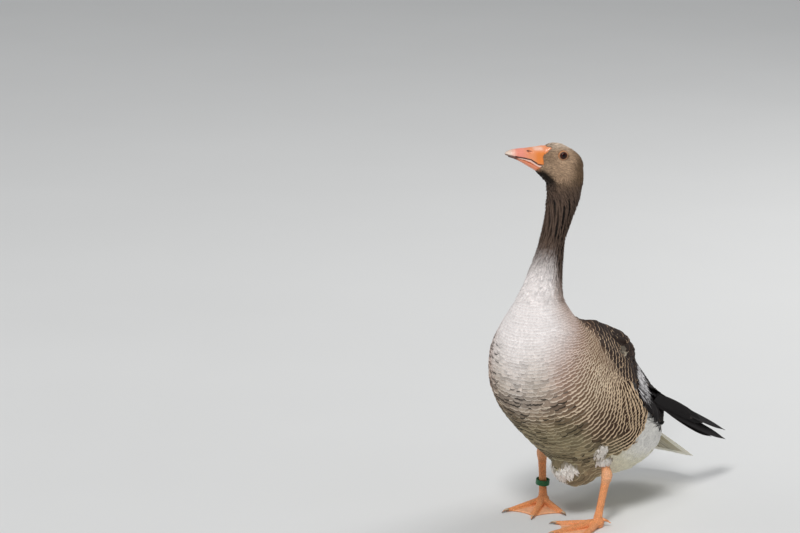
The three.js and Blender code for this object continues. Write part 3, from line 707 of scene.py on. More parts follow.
def note_vanes(mesh, loops, flock, shape, length, x, y, t, u):
    """Keeps the colours and measures that the materials read, and the unwrap."""
    count, each = len(length), len(t) * len(u)

    def spread(values):
        return np.repeat(values, each, axis=0)

    tone = CHANCE.normal(1, shape.shade, count)[:, None]
    note_colour(mesh, "tint", spread(flock.array("tint") * tone))
    if flock.array("groove").any():
        note(mesh, "groove", spread(flock.array("groove")), "FLOAT", "value")
    note_colour(mesh, "fringe", spread(flock.array("fringe") * tone))
    edge = spread((flock.array("edge") * MM / length)[:, None])
    u_all = np.broadcast_to(u, x.shape).reshape(-1, 1)
    t_all = np.broadcast_to(t[:, None], x.shape).reshape(-1, 1)
    note(mesh, "vane", np.concatenate([u_all, t_all, edge], axis=1))
    number = spread(np.arange(count)[:, None] % 997)
    note(mesh, "barb", np.concatenate([x.reshape(-1, 1) / MM, y.reshape(-1, 1) / MM, number], axis=1))
    spot = spread(patches(flock.array("place")))
    spot = spot + np.concatenate([u_all, 2 * t_all - 1], axis=1) * PATCH / 2
    unwrap = mesh.uv_layers.new(name="OFBake")
    unwrap.data.foreach_set("uv", spot[loops].astype(np.float32).ravel())


def lay(name, flock, material, slot, free=False, replaced=(), **changes):
    """Builds one piece of closed vanes that lie on the cover like tiles.

    changes are those to the usual shape of a VANE. Where free is told the vanes stand
    clear of the bird, straight but for their bend.
    """
    shape = SimpleNamespace(**{**VANE, **changes})
    t = np.linspace(0, 1, shape.rows + 1)
    u = np.linspace(-1, 1, shape.cols + 1)
    way, across, out = vane_axes(flock)
    length, width, lift = vane_sizes(flock, shape)
    count = len(length)
    along, side = vane_outline(count, shape, t, u)
    x = side * (width / 2)[:, None, None]
    y = along * length[:, None, None]
    height = vane_heights(flock, shape, lift, along, side, t, u)
    flat = flock.array("root")[:, None, None] + across[:, None, None] * x[..., None]
    flat = (flat + way[:, None, None] * y[..., None]).reshape(-1, 3)
    if free:
        height = height - flock.array("bend")[:, None, None] * length[:, None, None] * along ** 2
        points = flat + np.repeat(out, len(t) * len(u), axis=0) * height.reshape(-1, 1)
    else:
        places, outs, _ = nearest(COVER, flat)
        points = places + outs * height.reshape(-1, 1)
    mesh, loops = vane_mesh(name, points, count, shape.rows, shape.cols)
    crease_rims(mesh, count, t, u)
    note_vanes(mesh, loops, flock, shape, length, x, y, t, u)
    mesh.materials.append(material)
    ob = bpy.data.objects.new(name, mesh)
    bpy.context.scene.collection.objects.link(ob)
    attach(ob, "root")
    if replaced:
        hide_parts(*replaced)


# ---------- plan of the body ----------

PLAN_STEPS = 320
PLAN_AROUND = 180


class Plan:
    """The body as a smooth form told by a share along it and an angle round it.

    The angle is 0 at the back, a quarter turn on the left side, half a turn at the
    breast or belly.
    """

    def __init__(self):
        rows = [[*back, *belly, half] for back, belly, half in PLAN_MM]
        self.share = np.linspace(0, 1, PLAN_STEPS)
        self.angle = np.arange(PLAN_AROUND) * 2 * math.pi / PLAN_AROUND
        self.read = smooth_curve(rows, self.share) * MM
        self.grid = self.at(self.share[:, None], self.angle[None, :])
        self.travel = np.zeros(self.grid.shape[:2])
        self.travel[1:] = np.cumsum(np.linalg.norm(np.diff(self.grid, axis=0), axis=2), axis=0)
        self.places = kd_of(self.grid.reshape(-1, 3))

    def ring(self, share):
        """Middle of the ring, its upward direction and half sizes, at each share."""
        told = [np.interp(share, self.share, self.read[:, i]) for i in range(5)]
        back, belly = np.stack(told[:2], -1), np.stack(told[2:4], -1)
        middle = (back + belly) / 2
        depth = np.linalg.norm(back - belly, axis=-1)
        up = (back - belly) / depth[..., None]
        low, high, lean = (v * MM for v in NECK_LEAN_MM)
        x = lean * step(middle[..., 1], low, high)
        zero = np.zeros_like(x)
        middle = np.stack([x, middle[..., 0], middle[..., 1]], -1)
        return middle, np.stack([zero, up[..., 0], up[..., 1]], -1), told[4], depth / 2

    def at(self, share, angle):
        share, angle = np.broadcast_arrays(share, angle)
        middle, up, half, depth = self.ring(share)
        bend = 2 / PLAN_SQUARENESS
        sine, cosine = np.sin(angle), np.cos(angle)
        sideways = half * np.sign(sine) * np.abs(sine) ** bend
        upwards = depth * np.sign(cosine) * np.abs(cosine) ** bend
        point = middle + up * upwards[..., None]
        point[..., 0] += sideways
        return point

    def of(self, points):
        """Share and angle of the plan's place nearest to each point."""
        index = np.array([self.places.find(point)[1] for point in points.tolist()])
        return self.share[index // PLAN_AROUND], self.angle[index % PLAN_AROUND]

    def on_skin(self, share, angle):
        """Place on the skin, its outward direction and the way the plumage lies."""
        point = self.at(share, angle)
        inward = unit(self.ring(share)[0] - point)
        ahead = self.at(np.minimum(share + 0.004, 1), angle) - self.at(np.maximum(share - 0.004, 0), angle)
        place, out, there = cast(COVER, point - inward * 0.09, inward, 0.16)
        return place, out, ahead, there

    def closeness(self, share, angle, turn):
        """How close together rows lie at a place, 1 where they are as far apart as at a turn."""
        slope = np.gradient(self.travel, axis=0)
        row = (share * (PLAN_STEPS - 1)).astype(int)
        column = (angle / (2 * math.pi) * PLAN_AROUND).astype(int) % PLAN_AROUND
        return np.clip(slope[row, column] / slope[row, int(PLAN_AROUND * turn)], 0.4, 1.1)

    def rows(self, shares, spacing, aslant=lambda share, angle: 0 * angle):
        """Roots along rings at the given shares, a distance apart that is told for each place.

        aslant tells how much each row departs from its ring. The third answer is 0..1,
        alike for a few neighbours in one row.
        """
        found, alike = [], CHANCE.random(4099)
        for row, share in enumerate(shares):
            line = self.at(share + aslant(share, self.angle), self.angle)
            hop = np.linalg.norm(np.roll(line, -1, axis=0) - line, axis=1)
            near = spacing[int(share * (PLAN_STEPS - 1))]
            tally = np.concatenate([[0], np.cumsum(hop / near)])
            count = max(3, int(round(tally[-1])))
            at = (np.arange(count) + 0.5 * (row % 2) + CHANCE.normal(0, 0.08, count)) % count
            turn = np.interp(at * tally[-1] / count, tally, np.arange(PLAN_AROUND + 1))
            turned = aslant(share, turn * 2 * math.pi / PLAN_AROUND)
            jitter = share + turned + CHANCE.normal(0, 0.0003, count)
            group = alike[(row * 173 + ((at + 7 * alike[row]) // 3).astype(int) * 31) % len(alike)]
            found.append(np.stack([jitter.clip(0, 1), turn * 2 * math.pi / PLAN_AROUND, group], 1))
        found = np.concatenate(found)
        return found[:, 0], found[:, 1], found[:, 2]


PLAN = Plan()


def from_front(angle):
    """Degrees round the body from the middle of breast and belly, 0 to 180."""
    return np.degrees(np.abs(math.pi - angle % (2 * math.pi)))


# ---------- colours of the plumage ----------

PALE = srgb(238, 230, 227)
PALE_FRINGE = srgb(245, 240, 238)
BUFF = srgb(190, 176, 162)
BUFF_FRINGE = srgb(214, 204, 192)
SHOULDER = srgb(168, 140, 124)
SHOULDER_FRINGE = srgb(222, 200, 188)
FLANK = srgb(126, 100, 78)
FLANK_FRINGE = srgb(226, 205, 178)
FLANK_REAR = srgb(60, 40, 28)
FLANK_REAR_FRINGE = srgb(218, 190, 156)
NECK_DARK = srgb(90, 73, 62)
# Near black for painted shadow and shade: under the chin and in the neck's furrows.
PAINTED_SHADE_DARK = srgb(34, 28, 22)
# The underside's own brownish grey, made darker and browner as painted shade of the belly.
BELLY_IN_SHADE = srgb(142, 129, 100)
BELLY_FRINGE_IN_SHADE = srgb(186, 174, 142)
BELLY_DARK = srgb(30, 25, 18)
LOBE_BUFF = srgb(152, 137, 108)
VENT_WHITE = srgb(242, 239, 233)
# Painted shade: a yellowish grey for the vent's white where it lies low and towards the front.
VENT_PAINTED_SHADE = srgb(222, 217, 194)
MANTLE = srgb(70, 50, 38)
MANTLE_FRINGE = srgb(184, 152, 124)
SCAPULAR = srgb(44, 29, 21)
SCAPULAR_FRINGE = srgb(204, 174, 142)
COVERT_PALE = srgb(224, 221, 221)
FLIGHT_BLACK = srgb(20, 16, 16)
QUILL_FRINGE = srgb(70, 62, 58)
BLADE_FRINGE = srgb(84, 70, 60)
TAIL_BUFF = srgb(206, 196, 164)
TAIL_WHITE = srgb(248, 244, 228)
HEAD_BROWN = srgb(172, 145, 119)
# The crown made lighter, as painted light on the top of the head.
HEAD_CROWN_LIT = srgb(196, 176, 156)
HEAD_DARK = srgb(96, 76, 56)
FLUFF_WHITE = srgb(238, 231, 223)

# Share along the plan where the white of the vent starts, against degrees from the front.
VENT_FROM = ((0, 20, 36, 52, 62, 71, 77, 82, 88, 93, 98, 106, 112, 122, 150, 180),
             (0.80, 0.78, 0.732, 0.739, 0.750, 0.758, 0.761, 0.758, 0.738, 0.708, 0.694, 0.69, 0.76, 0.84,
              0.87, 0.87))
# Degrees from the front above which the folded wing shows, against the share.
WING_EDGE = ((0.55, 0.57, 0.60, 0.64, 0.68, 0.72, 0.76, 0.80), (134, 118, 116, 106, 99, 98, 102, 108))


def head_colours(points, wave):
    ahead, side, up = head_place(points)
    tint = layered(
        HEAD_BROWN,
        # painted light: the top of the head lighter
        (HEAD_CROWN_LIT, step(up, 4, 13)),
        (HEAD_DARK, 0.92 * step(ahead, -1, -24) * step(up, 14, 4)),       # the rear of the head
        (HEAD_DARK, 0.35 * step(ahead, 6, 20) * step(up, -16, -4)),       # the face
        (HEAD_DARK, 0.8 * step(up, -20, -50)),
        # painted shadow under the chin, in the middle of the throat
        (PAINTED_SHADE_DARK, step(np.abs(side), 13, 8) * step(up, -15, -24) * step(ahead, -6, 4)),
        (NECK_DARK, step(points[:, 2], 0.524, 0.492)),
    )
    return tint * (1 + 0.13 * wave)[:, None]


def marking_zones(share, front, wave):
    """How much each marking of neck and trunk counts at a place, from 0 to 1."""
    turned = share + 0.0011 * (front - 20) + 0.02 * step(front, 45, 20)
    hind = 14 * step(share, 0.69, 0.74)
    vent = step(share - np.interp(front, *VENT_FROM), 0.0, 0.004)
    nape = step(front, 50, 115)
    neck_ends = share + 0.0045 * wave
    return SimpleNamespace(
        grey=np.maximum(step(turned, 0.44, 0.60), 0.8 * nape),
        brown=step(turned, 0.54, 0.66),
        rear=step(share + 0.0005 * (front - 20), 0.60, 0.755),
        aside=step(front, 24, 58),
        # the underside, its darker colour partly painted shade
        under=step(share, 0.57, 0.67) * step(front, 58 + hind, 30 + hind),
        back=step(front, 122, 150) * step(share, 0.42, 0.52),
        wing=step(front - np.interp(share, *WING_EDGE), -3, 7) * step(share, 0.545, 0.585),
        lobe=step(share, 0.70, 0.74) * step(front, 44, 22),
        vent=vent,
        # painted shade of the lower, forward part of the vent
        vent_painted_shade=step(front, 76, 48) * step(share, 0.93, 0.84),
        # painted shade: vent feathers beneath the folded wing made near black, as its shadow
        shade_under_wing=vent * step(front, 91, 96) * step(front, 142, 132) * step(share, 0.88, 0.85),
        neck=1 - step(neck_ends, mix(0.175, 0.235, nape), mix(0.30, 0.44, nape)),
    )


def breast_flecks(x, share, front, wave, group):
    """Dark ragged lines low on the breast and between the legs: markings, thickest on its right, made denser
    there and in a band low on the breast as painted shade of the belly.

    The answers say where they may lie, and how much they darken the tips and the vanes.
    """
    low = step(share, 0.535, 0.575) * step(share, 0.84, 0.78) * step(front, 62, 40)
    # painted shade: a band low on the breast where more dark lines lie
    painted_shade_band = step(share, 0.545, 0.575) * step(share, 0.64, 0.60) * step(front, 40, 14) * step(x, 26, -6)
    # more lines on the bird's right side: markings there, made denser as painted shade
    often = low * mix(0.27, 0.66, step(x, 24, -10)) * mix(1.0, 1.15, step(share, 0.69, 0.72)) + 0.25 * painted_shade_band
    speck = step(share, 0.43, 0.48) * step(share, 0.60, 0.56) * step(x, -20, -34) * (np.abs(wave) > 0.9)
    line = np.maximum((group < often) * step(wave, -1.3, -0.2), 0.85 * speck)
    deep = (group < 0.25 * often) * step(wave, -0.6, 0.2)
    # in the band the vanes are darkened more, as painted shade
    return np.maximum(low, speck), 0.95 * line, np.maximum((0.12 + 0.22 * painted_shade_band) * line, 0.42 * deep)


def body_colours(place, share, angle, wave, group):
    """Tint, fringe and width of the edge, in mm, for feathers of neck and trunk.

    wave is random for each feather, group is 0..1 and alike for a few neighbours.
    """
    front = from_front(angle)
    zone = marking_zones(share, front, wave)
    white = mix(VENT_WHITE, VENT_PAINTED_SHADE, zone.vent_painted_shade)
    ground = (
        (mix(BUFF, SHOULDER, zone.aside), mix(BUFF_FRINGE, SHOULDER_FRINGE, zone.aside), zone.grey),
        (mix(FLANK, FLANK_REAR, zone.rear), mix(FLANK_FRINGE, FLANK_REAR_FRINGE, zone.rear), zone.brown),
        (BELLY_IN_SHADE, BELLY_FRINGE_IN_SHADE, zone.under),
        (MANTLE, MANTLE_FRINGE, zone.back),
        (SCAPULAR, SCAPULAR_FRINGE, zone.wing),
        (LOBE_BUFF, BELLY_FRINGE_IN_SHADE * 1.2, zone.lobe),
    )
    over = (
        (white, white * 1.03, zone.vent),
        # painted shade under the wing
        (FLIGHT_BLACK * 1.2, FLIGHT_BLACK * 2.4, zone.shade_under_wing),
        (NECK_DARK, NECK_DARK * 1.3, zone.neck),
    )
    tint = layered(PALE, *[(own, part) for own, _, part in ground])
    fringe = layered(PALE_FRINGE, *[(pale, part) for _, pale, part in ground])
    mottle = 0.16 * wave * step(front, 64, 34) * step(share, 0.44, 0.56)
    tint, fringe = tint * (1 + mottle)[:, None], fringe * (1 - 0.6 * np.abs(mottle))[:, None]
    flecked, dark_tips, dark_vanes = breast_flecks(place[:, 0] / MM, share, front, wave, group)
    tint = layered(tint, (BELLY_DARK, dark_vanes), *[(own, part) for own, _, part in over])
    fringe = layered(fringe, (BELLY_DARK, dark_tips), *[(pale, part) for _, pale, part in over])

    edge = mix(mix(1.3, 3.1, zone.brown), 2.5, zone.rear * zone.brown)
    edge = edge * mix(1, 0.62, step(front, 88, 108) * step(share, 0.64, 0.58))
    edge = mix(edge, 2.0 + 0.5 * np.clip(wave, -1, 1), flecked)
    edge = mix(edge, 1.25, np.maximum(zone.wing, zone.back))
    return tint, np.minimum(fringe, 0.96), edge


def skin_colours(points):
    """The plumage's markings on the skin beneath it, darker as painted shade between the feathers."""
    share, angle = PLAN.of(points)
    body = body_colours(points, share, angle, np.zeros(len(points)), np.ones(len(points)))[0]
    head = head_colours(points, np.zeros(len(points)))
    ahead = head_place(points)[0]
    on_head = step(points[:, 2], 0.485, 0.505)
    tint = mix(body * 0.62, head * 0.72, on_head)
    # Painted shade: the neck's skin is made near black so that the furrows between its ridges look shaded.
    groove = step(points[:, 2], 0.395, 0.43) * (1 - on_head)
    tint = mix(tint, PAINTED_SHADE_DARK * 0.35, groove)
    return mix(tint, BILL_ORANGE * 0.8, on_head * step(ahead, 30, 33))


# ---------- the coat of trunk and neck ----------

WING_ROWS = (0.638, 0.82)         # shares between which the wing has rows of its own
BACK_ROWS = (0.50, 0.84)          # shares between which the back and shoulders have larger rows
SHOULDER_TO = 0.70                # share where these rows end at the sides of the back
MID_BACK = 146                    # degrees from the breast beyond which they carry on to the rump
ROWS_FROM, ROWS_TO = 0.165, 0.975
NECK_SIDE_TO = 0.25               # share down to which the sides of the neck have ridges only
ROW_TURN, BACK_ROW_TURN = 0.42, 0.13      # turns at which the rows of trunk and back are spaced


def row_shares(turn, exposure, start, stop):
    """Shares of rows that show so many mm of themselves, told along the body at one turn."""
    run = PLAN.travel[:, int(PLAN_AROUND * turn)]
    phase = np.concatenate([[0], np.cumsum(np.diff(run) / (exposure[1:] * MM))])
    low, high = np.interp([start, stop], PLAN.share, phase)
    return np.interp(np.arange(low, high), phase, PLAN.share)


# Where the scapulars stand out over the rump: middle (x, y, z) and reach in mm, rise.
SCAPULAR_BULGE_MM = ((51, -18, 262), 25, 9.5)


def bulge(points):
    """How far the feathers of the back stand out beyond their usual depth, in metres."""
    middle, reach, rise = SCAPULAR_BULGE_MM
    gap = np.linalg.norm(folded_mm(points) - np.array(middle), axis=1)
    return rise * MM * np.exp(-(gap / reach) ** 2)


LAST_ROWS_FROM = 0.93             # share from which the white feathers stand clear over the tail
FLANK_SLANT = 0.066               # most that a row of the flank runs ahead of its ring


def over_wing(share, front):
    """How many degrees above the edge of the folded wing a place lies."""
    return front - np.interp(share, *WING_EDGE)


def row_slant(share, angle):
    """How far a row departs from its ring: on the flank it turns to run along the wing's edge."""
    front = from_front(angle)
    aside = step(front, 62, 106) * step(front, 160, 118)
    return -FLANK_SLANT * aside * step(share, 0.46, 0.74) * step(share, 1.0, 0.77)


def square_to_row(share, angle, out, way):
    """The lie of the feathers, turned to stay nearly square to rows that run aslant."""
    here, hop = row_slant(share, angle), 0.05
    after, before = row_slant(share, angle + hop), row_slant(share, angle - hop)
    tangent = PLAN.at(share + after - here, angle + hop) - PLAN.at(share + before - here, angle - hop)
    way = unit(way)
    square = unit(np.cross(out, tangent))
    square = square * np.sign((square * way).sum(1, keepdims=True))
    turned = step(np.abs(after - before), 0, 0.006) * (share < np.interp(from_front(angle), *VENT_FROM))
    return unit(way + 2.2 * square * turned[:, None])


def along_body(share, neck, breast, flank, more_behind):
    """A size in mm that changes from the neck over the breast to the flank and the rear."""
    size = mix(mix(neck, breast, step(share, 0.25, 0.5)), flank, step(share, 0.5, 0.62))
    return size + more_behind * step(share, 0.76, 0.86)


def trunk_rows():
    """Roots in rows on neck and trunk, where neither ridges nor wings have their own."""
    along = np.broadcast_to(PLAN.share[:, None], PLAN.grid.shape[:2])
    spacing = mix(4.2, 7.4, step(along, 0.25, 0.5)) + 1.8 * step(along, 0.76, 0.84)
    exposure = mix(mix(4.2, 7.0, step(PLAN.share, 0.48, 0.60)), 9.2, step(PLAN.share, 0.61, 0.70))
    exposure = exposure + 2 * step(PLAN.share, 0.77, 0.84)
    shares = row_shares(ROW_TURN, exposure, ROWS_FROM, ROWS_TO)
    share, angle, group = PLAN.rows(shares, spacing * MM, row_slant)
    place, out, way, there = PLAN.on_skin(share, angle)
    way = square_to_row(share, angle, out, way)
    front = from_front(angle)
    keep = there & in_nodes(place, "trunk", "neck_lower", "neck_upper", "wing_left", "wing_right",
                            "thigh_left", "thigh_right")
    keep &= ~((over_wing(share, front) > 3) & (share > BACK_ROWS[0]) & (share < WING_ROWS[1]))
    keep &= share > mix(ROWS_FROM, NECK_SIDE_TO, step(front, 45, 85))
    return [a[keep] for a in (share, angle, group, place, out, way)]


def coat_of_trunk():
    share, angle, group, place, out, way = trunk_rows()
    front = from_front(angle)
    wave = CHANCE.normal(0, 1, len(share))
    tint, fringe, edge = body_colours(place, share, angle, wave, group)
    crowding = 1 + (row_slant(share + 0.01, angle) - row_slant(share - 0.01, angle)) / 0.02
    edge = edge * PLAN.closeness(share, angle, ROW_TURN) * np.clip(crowding, 0.5, 1.1) ** 1.6
    hidden = (over_wing(share, front) > 3) & (share > 0.7)
    fringe = mix(fringe, np.minimum(fringe, tint * 1.6), hidden)
    vent = share > np.interp(front, *VENT_FROM)
    lip = step(np.interp(front, *VENT_FROM) - share, 0.02, 0.0) * step(front, 35, 60) * ~vent
    lift = mix(1.3, 2.7, step(share, 0.32, 0.5)) * MM + 1.8 * MM * lip
    loose = step(front, 66, 40) * step(share, 0.44, 0.56)
    sway = mix(2.5, 7.0, np.maximum(step(share, 0.76, 0.86), loose))
    told = dict(root=place, way=way, out=out, length=along_body(share, 11, 16, 21, 10) * MM,
                width=along_body(share, 8.2, 15, 17, 3) * MM, seat=0.1 * MM, lift=lift, tint=tint,
                fringe=fringe, edge=edge, toss=mix(0.025, 0.12, loose), sway=sway,
                place=np.stack([angle, share], 1))
    left = angle % (2 * math.pi) < math.pi
    zones = {
        "feathers_breast": (front < 66) & (share < 0.56) & ~vent,
        "feathers_belly": (front < 66) & (share >= 0.56) & ~vent,
        "feathers_flank_left": (front >= 66) & left & ~vent,
        "feathers_flank_right": (front >= 66) & ~left & ~vent,
    }
    for name, mask in zones.items():
        lay(name, Flock().add(mask, **told), SOFT_VANE, "breast_feathers", cols=6, blunt=0.72,
            drop=0.1, camber=0.03, jag=0.014, vary=0.015, shade=0.03)
    lay("feathers_vent", Flock().add(vent & (share < LAST_ROWS_FROM), **told), SOFT_VANE, "vent_feathers",
        blunt=0.5, drop=0.2)
    told.update(length=34 * MM, width=15 * MM, lift=4 * MM, bend=0.05, toss=0.1)
    lay("feathers_tail_coverts", Flock().add(vent & (share >= LAST_ROWS_FROM), **told), SOFT_VANE,
        "vent_feathers", blunt=0.5, drop=0.2, free=True)


EDGE_DEGREES = (52, 100)          # where the flank ends in rows of its own, from the breast
# How far before the line where the white starts each of these rows is rooted, in mm.
EDGE_ROWS_MM = (26, 20, 14, 8, 2)
EDGE_SPACING_MM = 6.4


def coat_of_edge():
    """The last rows of each flank, square to the line where the white of the vent starts."""
    fine = np.radians(np.linspace(*EDGE_DEGREES, 160))
    for side, sign in SIDES.items():
        angle = math.pi - sign * fine
        share = np.interp(from_front(angle), *VENT_FROM)
        line, out, way, there = PLAN.on_skin(share, angle)
        share, angle, line, out, way = (a[there] for a in (share, angle, line, out, unit(way)))
        run = np.concatenate([[0], np.cumsum(np.linalg.norm(np.diff(line, axis=0), axis=1))]) / MM
        flock = Flock()
        for order, back in enumerate(EDGE_ROWS_MM):
            stops = np.arange(EDGE_SPACING_MM / 2 * (order % 2), run[-1], EDGE_SPACING_MM)
            at = np.interp(stops, run, np.arange(len(run))).astype(int)
            tangent = line[np.minimum(at + 8, len(run) - 1)] - line[np.maximum(at - 8, 0)]
            square = unit(np.cross(out[at], tangent))
            square = square * np.sign((square * way[at]).sum(1, keepdims=True))
            lie = unit(square + 0.4 * way[at])
            place, outward, _ = nearest(COVER, line[at] - lie * back * MM)
            wave = CHANCE.normal(0, 1, len(at))
            before = share[at] - 0.004 - 0.001 * back
            tint, fringe, edge = body_colours(place, before, angle[at], wave, np.ones(len(at)))
            flock.add(root=place, way=lie, out=outward, length=13 * MM, width=17 * MM, seat=0.3 * MM,
                      lift=(3.6 + 0.35 * order) * MM, tint=tint * (1.0 - 0.09 * order), fringe=fringe,
                      edge=edge * 0.66, toss=0.02, sway=2.0, place=np.stack([angle[at], before], 1))
        lay("feathers_edge_" + side, flock, SOFT_VANE, "breast_feathers", cols=6, blunt=0.7, drop=0.12,
            camber=0.04, jag=0.014, vary=0.02, shade=0.04)


def coat_of_back():
    """Mantle and scapulars: larger, darker feathers in rows that carry on those of the flank."""
    exposure = mix(5.5, 8.6, step(PLAN.share, 0.50, 0.58))
    spacing = np.full(PLAN.grid.shape[:2], 9.5 * MM)
    share, angle, _ = PLAN.rows(row_shares(BACK_ROW_TURN, exposure, *BACK_ROWS), spacing)
    place, out, way, there = PLAN.on_skin(share, angle)
    front = from_front(angle)
    keep = there & (over_wing(share, front) > 0) & ((share < SHOULDER_TO) | (front > MID_BACK))
    share, angle, front, place, out, way = (a[keep] for a in (share, angle, front, place, out, way))
    wave = CHANCE.normal(0, 1, len(share))
    tint, fringe, _ = body_colours(place, share, angle, wave, np.ones(len(share)))
    size = step(share, 0.50, 0.58)
    length = mix(19, 27, size) * MM
    ends = place + unit(way) * length[:, None]
    faint = np.maximum(step(ends[:, 1] / MM, -66, -40), step(front, 142, 158))
    fringe = mix(fringe, SCAPULAR * 2.2, faint * np.clip(0.92 + 0.12 * wave, 0, 1))
    tint = mix(tint, tint * 0.7, faint)
    spot = near_line(ends, (PALE_SPOT_MM[0],), PALE_SPOT_MM[1])
    tint, fringe = mix(tint, SPOT_PALE, spot), mix(fringe, SPOT_PALE * 1.2, spot)
    told = dict(root=place, way=way, out=out, length=length, width=mix(17, 21, size) * MM,
                seat=0.1 * MM + 0.8 * bulge(place), lift=2.9 * MM + bulge(ends), tint=tint, fringe=fringe,
                edge=1.35, sway=2.0, toss=0.02, place=np.stack([angle, share], 1))
    for side, sign in SIDES.items():
        lay("feathers_back_" + side, Flock().add(place[:, 0] * sign > 0, **told), SOFT_VANE, "back_feathers",
            rows=7, cols=6, blunt=0.68, drop=0.14, camber=0.04, jag=0.012, vary=0.012, shade=0.05)


NECK_RIDGES = 27
NECK_EXPOSURE = 2.8 * MM
NECK_TO = 0.36
NECK_TOP = 0.521                  # height of the first feathers in ridges
NECK_TWIST = 1.5


def ridge_turn(share, ridge):
    """Angle round the neck of a ridge of feathers, which winds a little down the neck."""
    wander = 0.05 * np.sin(share * 70 + ridge * 2.4) + 0.05 * np.sin(share * 31 + 1)
    return 2 * math.pi * ridge / NECK_RIDGES - NECK_TWIST * step(share, 0.03, 0.18) + wander


# Height from between the eyes and how much the plumage of the throat stands out there.
THROAT_MM = ((-92, -72, -58, -50, -44, -38, -32, -26, -20), (0, 0.3, 0.6, 1.5, 3.2, 5.0, 3.2, 1, 0))


def throat_rise(points):
    """How far the plumage of the throat fills the bend below the chin, in mm."""
    ahead, side, up = head_place(points)
    rise = np.interp(up, *THROAT_MM)
    return rise * step(np.abs(side), 13, 6) * step(ahead, -2, 7)


def coat_of_neck():
    """Ridges of short pointed feathers, with painted shade darkening the furrows between them."""
    run = (PLAN.travel[:, 0] + PLAN.travel[:, PLAN_AROUND // 2]) / 2
    count = int(run[int(NECK_TO * PLAN_STEPS)] / NECK_EXPOSURE)
    found = []
    for ridge in range(NECK_RIDGES):
        at = (np.arange(count) + CHANCE.uniform(0, 1) + CHANCE.uniform(-0.15, 0.15, count)) * NECK_EXPOSURE
        share = np.interp(at, run, PLAN.share)
        shift = CHANCE.normal(0, 0.006, count)
        turns = [ridge_turn(share + hop, ridge) + shift for hop in (0, 0.006, -0.006)]
        found.append(np.stack([share, *turns], 1))
    found = np.concatenate(found)
    share, angle = found[:, 0], found[:, 1] % (2 * math.pi)
    place, out, _, there = PLAN.on_skin(share, angle)
    way = PLAN.at(np.minimum(share + 0.006, 1), found[:, 2])
    way = way - PLAN.at(np.maximum(share - 0.006, 0), found[:, 3])
    keep = there & in_nodes(place, "neck_upper", "neck_lower", "head") & (place[:, 2] < NECK_TOP)
    share, angle, place, out, way = (a[keep] for a in (share, angle, place, out, way))
    wave = CHANCE.normal(0, 1, len(share))
    tint, fringe, _ = body_colours(place, share, angle, wave, np.ones(len(share)))
    near_head = step(place[:, 2], 0.490, NECK_TOP)
    tint = mix(tint, head_colours(place, 0.5 * wave), near_head)
    fringe = mix(fringe, tint * 1.3, near_head)
    _, _, half, depth = PLAN.ring(share)
    ridge_width = math.pi * (half + depth) / NECK_RIDGES
    aside = step(from_front(angle), 40, 85)
    # furrow tells how much painted shade darkens the sides of the ridge feathers, as shade in the furrows.
    furrow = 1 - step(share, mix(0.21, 0.25, aside), mix(0.32, 0.36, aside))
    furrow = furrow * mix(0.55, 1.0, step(from_front(angle), 20, 55))
    fill = throat_rise(place)
    lift = mix(mix(2.4, 3.6, furrow), 2.0, near_head) + fill
    told = dict(root=place, way=way, out=out, length=mix(10.5, 6.5, near_head) * MM,
                width=ridge_width * mix(1.5, 0.64, furrow), seat=(0.15 + 0.7 * fill) * MM,
                lift=lift * MM, tint=tint, fringe=fringe, edge=1.0, sway=2.0, toss=0.06,
                groove=furrow * mix(1, 0.4, near_head), place=np.stack([angle, share], 1))
    lay("feathers_neck", Flock().add(**told), SOFT_VANE, "neck_feathers", rows=5, cols=6, blunt=0.3,
        drop=0.25, foot=0.6, camber=0.22, thick=0.35, shade=0.1)


# ---------- the coat of the head ----------

def scattered(mesh, spacing, keep):
    """Places on a mesh that keep a distance from one another, and their outward way."""
    points, _, normals = mesh_arrays(mesh)
    chosen = keep(points)
    picks = []
    for face in mesh.polygons:
        corner = list(face.vertices)
        if not all(chosen[v] for v in corner):
            continue
        number = max(1, int(round(face.area / (spacing * spacing) * 5)))
        for a, b in CHANCE.random((number, 2)):
            weights = np.array([(1 - a) * (1 - b), a * (1 - b), a * b, (1 - a) * b])[:len(corner)]
            weights = weights / weights.sum()
            picks.append(np.concatenate([weights @ points[corner], weights @ normals[corner]]))
    picks = np.array(picks)
    CHANCE.shuffle(picks)
    taken, grid = [], {}
    cells = (picks[:, :3] // spacing).astype(int).tolist()
    places = picks[:, :3].tolist()
    around = [(dx, dy, dz) for dx in (-1, 0, 1) for dy in (-1, 0, 1) for dz in (-1, 0, 1)]
    for i, (x, y, z) in enumerate(places):
        cx, cy, cz = cells[i]
        near = (o for dx, dy, dz in around for o in grid.get((cx + dx, cy + dy, cz + dz), ()))
        if all((x - o[0]) ** 2 + (y - o[1]) ** 2 + (z - o[2]) ** 2 >= spacing ** 2 for o in near):
            grid.setdefault((cx, cy, cz), []).append((x, y, z))
            taken.append(i)
    return picks[taken, :3], unit(picks[taken, 3:])


HEAD_SPACING = 1.25 * MM          # feathers of the head stand this far apart
EYELID_REACH_MM = 6.9
EYE_SHIFT = np.array([0, 0, 0.7]) * MM     # the ball sits this much higher than the CAD one


def eye_distance(points, side):
    """Distance from an eye's axis, in mm, and height along it; far off on the other side."""
    off = (points - np.array(EYE_AT[side]) - EYE_SHIFT) / MM
    height = off @ EYE_POLE[side]
    distance = np.linalg.norm(off - height[:, None] * EYE_POLE[side], axis=1)
    return np.where(height > -6, distance, 99.0), height


